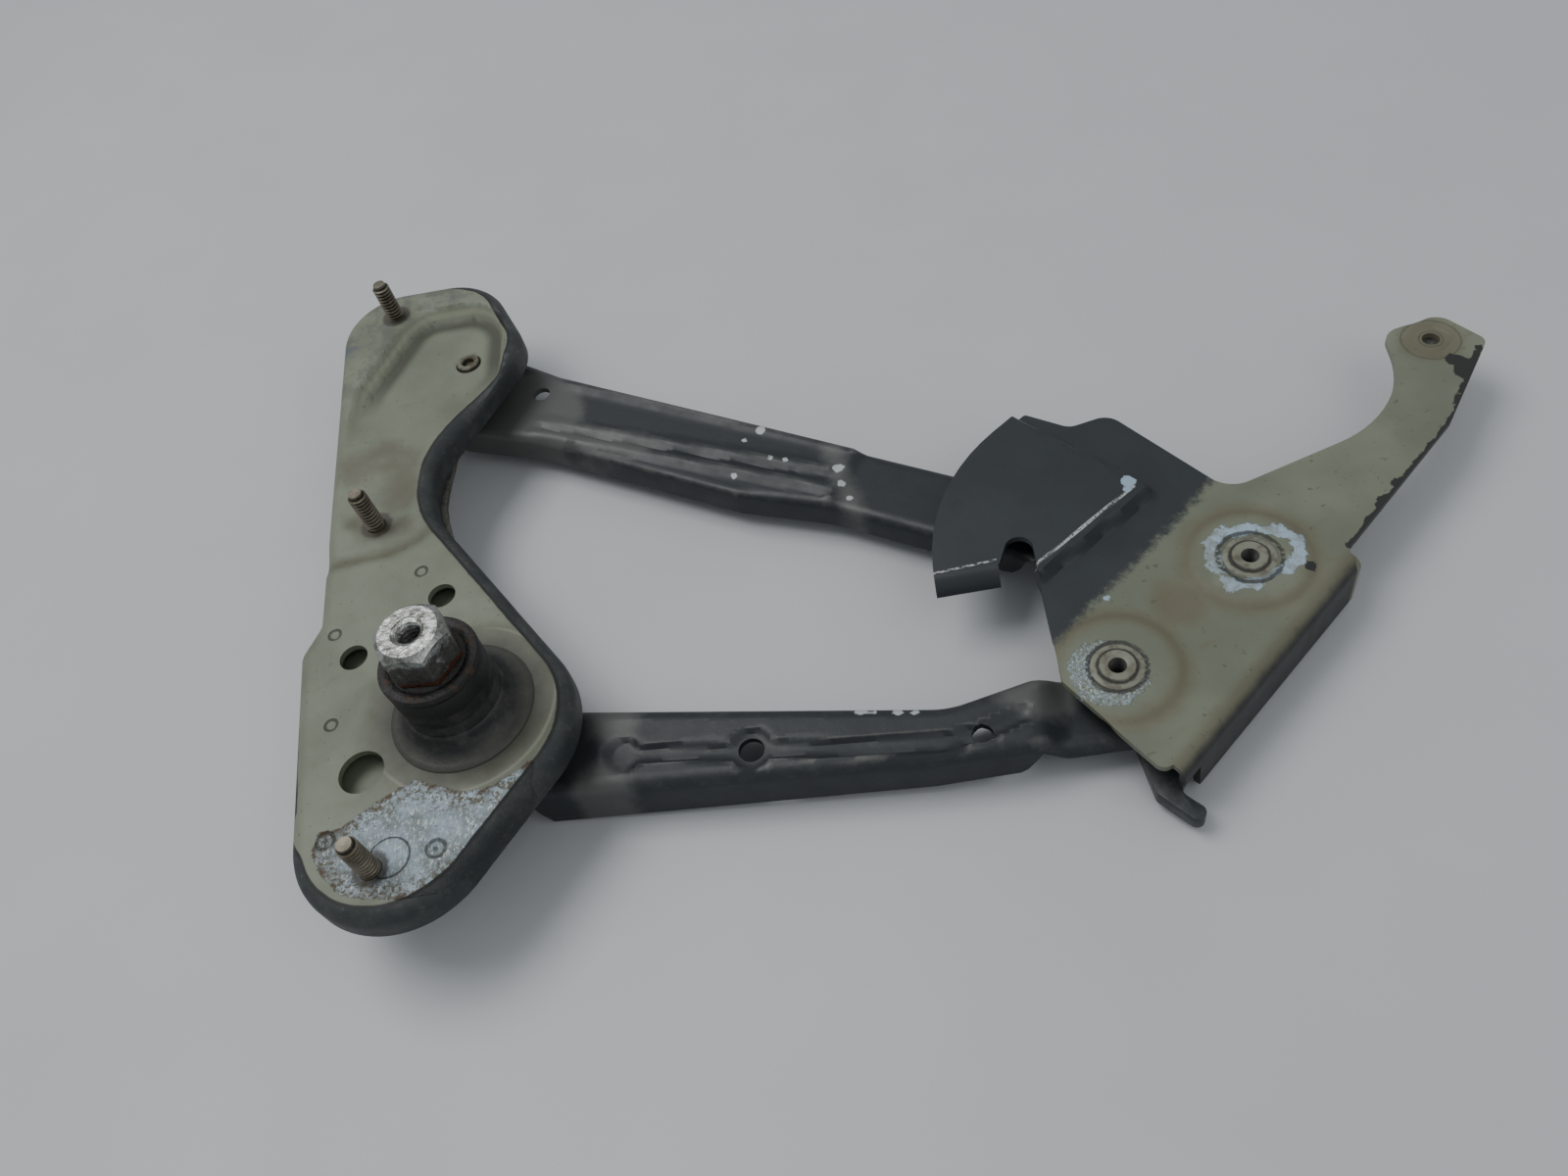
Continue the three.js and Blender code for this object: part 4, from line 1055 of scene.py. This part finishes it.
paint = Paint("plate_paint", 0.42)
plate_material = paint.finish(
    paint.dark(), paint.level(paint.noise(5, 4), 0.3, 0.55), None, paint.grain(0.5, 0.03, 5, 0.15))
PLATE_TOP = -28.5
PLATE_BOTTOM = -33.5


def skirt_point(run, depth):
    return tuple(skirt_start + run * along - depth * outward)


plan = belt([
    off_front(0.5, -31, 2.2),
    off_front(1, -24.6, -2.6),
    (*skirt_point(HOOK_ROOM - 1.2, SHEET + 0.6), 0),
    (*skirt_point(43, SHEET + 5.3), 5),
    off_rear(0, 0, 12),
    off_front(0, 0, 11),
    off_front(-5.6, -23.3, 2.7),
])
bm = bmesh.new()
bm.faces.new([bm.verts.new((x, y, PLATE_TOP)) for x, y in plan])
lower = bmesh.ops.extrude_face_region(bm, geom=bm.faces[:])["geom"]
bmesh.ops.translate(
    bm, vec=(0, 0, PLATE_BOTTOM - PLATE_TOP), verts=[g for g in lower if isinstance(g, bmesh.types.BMVert)])
bmesh.ops.recalc_face_normals(bm, faces=bm.faces)
settle(
    piece("pivot_plate_looks", bm), plate_material, "lid_carrier", ["pivot_plate"],
    holes=[(*FRONT_PIN, 4.3), (*REAR_PIN, 4.3)], edge=1.0)

# ================================================================= pieces kept from the frame
# Bushes, washers, the ring, the spacer, the stiffener and the closing plate lie mostly inside and
# keep their own shapes. They are turned bronze, zinc-plated or bare sheet steel.

paint = Paint("bush_bronze", 0.4, 0.9)
bronze_material = paint.finish(
    paint.mix(paint.step(paint.noise(4, 4), 0.4, 0.7), "9a7442", "6b4c2a"),
    paint.level(paint.noise(3, 3), 0.3, 0.5), None, paint.grain(0.4, 0.03, 3, 0.05))
paint = Paint("plated_zinc", 0.4, 0.8)
zinc_material = paint.finish(
    paint.mix(paint.step(paint.noise(6, 5, 0.7), 0.4, 0.7), "a9aba6", "77766c"),
    paint.level(paint.noise(3, 3), 0.3, 0.55), None, paint.grain(0.5, 0.04, 4, 0.08))
paint = Paint("inner_sheet", 0.55)
inner_material = paint.finish(
    paint.primer(), paint.level(paint.noise(5, 4), 0.45, 0.7), None, paint.grain(0.6, 0.05, 5, 0.15))
paint = Paint("rough_sheet", 0.6, 0.3)
rough_material = paint.finish(
    paint.mix(paint.step(paint.noise(5, 6, 0.8), 0.4, 0.65), "5e5d55", "34342f"),
    paint.level(paint.noise(3, 3), 0.45, 0.75), None, paint.grain(0.8, 0.15, 4, 0.4))
paint = Paint("hub_paint", 0.5)
hub_material = paint.finish(
    paint.mix(paint.step(paint.noise(6, 5, 0.7), 0.4, 0.7), DARK, DARK_DUSTY),
    paint.level(paint.noise(3, 3), 0.4, 0.6), None, paint.grain())

kept = {
    "upper_shaft_bush": (bronze_material, "bronze"),
    "lower_shaft_bush": (bronze_material, "bronze"),
    "rear_pivot_bush": (bronze_material, "bronze"),
    "front_pin_bush": (bronze_material, "bronze"),
    "thrust_washer": (zinc_material, "zinc_plate"),
    "rear_pivot_washer": (zinc_material, "zinc_plate"),
    "front_pin_washer": (zinc_material, "zinc_plate"),
    "rear_pin_spacer": (zinc_material, "zinc_plate"),
    "eyelet_nut": (zinc_material, "zinc_plate"),
    "base_stiffener": (inner_material, "zinc_plate"),
    "closing_plate": (rough_material, "bare_steel"),
    "shaft_retaining_ring": (steel_material, "stud_steel"),
    "front_pivot_pin": (steel_material, "bare_steel"),
    "rear_pivot_pin": (steel_material, "bare_steel"),
    "front_arm_hub": (hub_material, "dark_paint"),
}
for name, (material, slot) in kept.items():
    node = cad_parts[name]
    node.data.materials.clear()
    node.data.materials.append(material)

# ================================================================= floor, light and camera
# Plain pale floor under the lowest point, one broad soft light overhead and a weaker one from the
# left rear, as under an overcast sky.

FLOOR = cad_box[0].z - 0.0002
bm = bmesh.new()
bmesh.ops.create_grid(bm, x_segments=1, y_segments=1, size=3.0, matrix=Matrix.Translation((0, 0, FLOOR)))
mesh = bpy.data.meshes.new("floor")
bm.to_mesh(mesh)
bm.free()
floor = bpy.data.objects.new("floor", mesh)
bpy.context.scene.collection.objects.link(floor)
paint = Paint("floor_grey", 0.5)
floor.data.materials.append(paint.finish(paint.mix(paint.noise(60, 2), "b4b6b8", "bcbec0")))


def soft_light(name, place, size, power, target=(0.15, 0.05, 0)):
    data = bpy.data.lights.new(name, "AREA")
    data.shape = "RECTANGLE"
    data.size, data.size_y = size
    data.energy = power
    lamp = bpy.data.objects.new(name, data)
    lamp.location = place
    lamp.rotation_euler = (Vector(target) - Vector(place)).to_track_quat("-Z", "Y").to_euler()
    bpy.context.scene.collection.objects.link(lamp)


soft_light("key", (-0.45, 0.30, 1.25), (0.9, 0.7), 11)
soft_light("fill", (0.8, -0.5, 0.9), (0.9, 0.9), 2.5)

world = bpy.data.worlds.new("overcast")
world.use_nodes = True
world.node_tree.nodes["Background"].inputs["Color"].default_value = (0.78, 0.82, 0.86, 1)
world.node_tree.nodes["Background"].inputs["Strength"].default_value = 0.55
bpy.context.scene.world = world

lens = bpy.data.cameras.new("view")
lens.lens = 28.66
lens.clip_start = 0.01
camera = bpy.data.objects.new("view", lens)
camera.location = (0.15835, -0.20220, 0.27400)
camera.rotation_euler = [math.radians(a) for a in (36.928, 10.387, -3.166)]
bpy.context.scene.collection.objects.link(camera)
bpy.context.scene.camera = camera
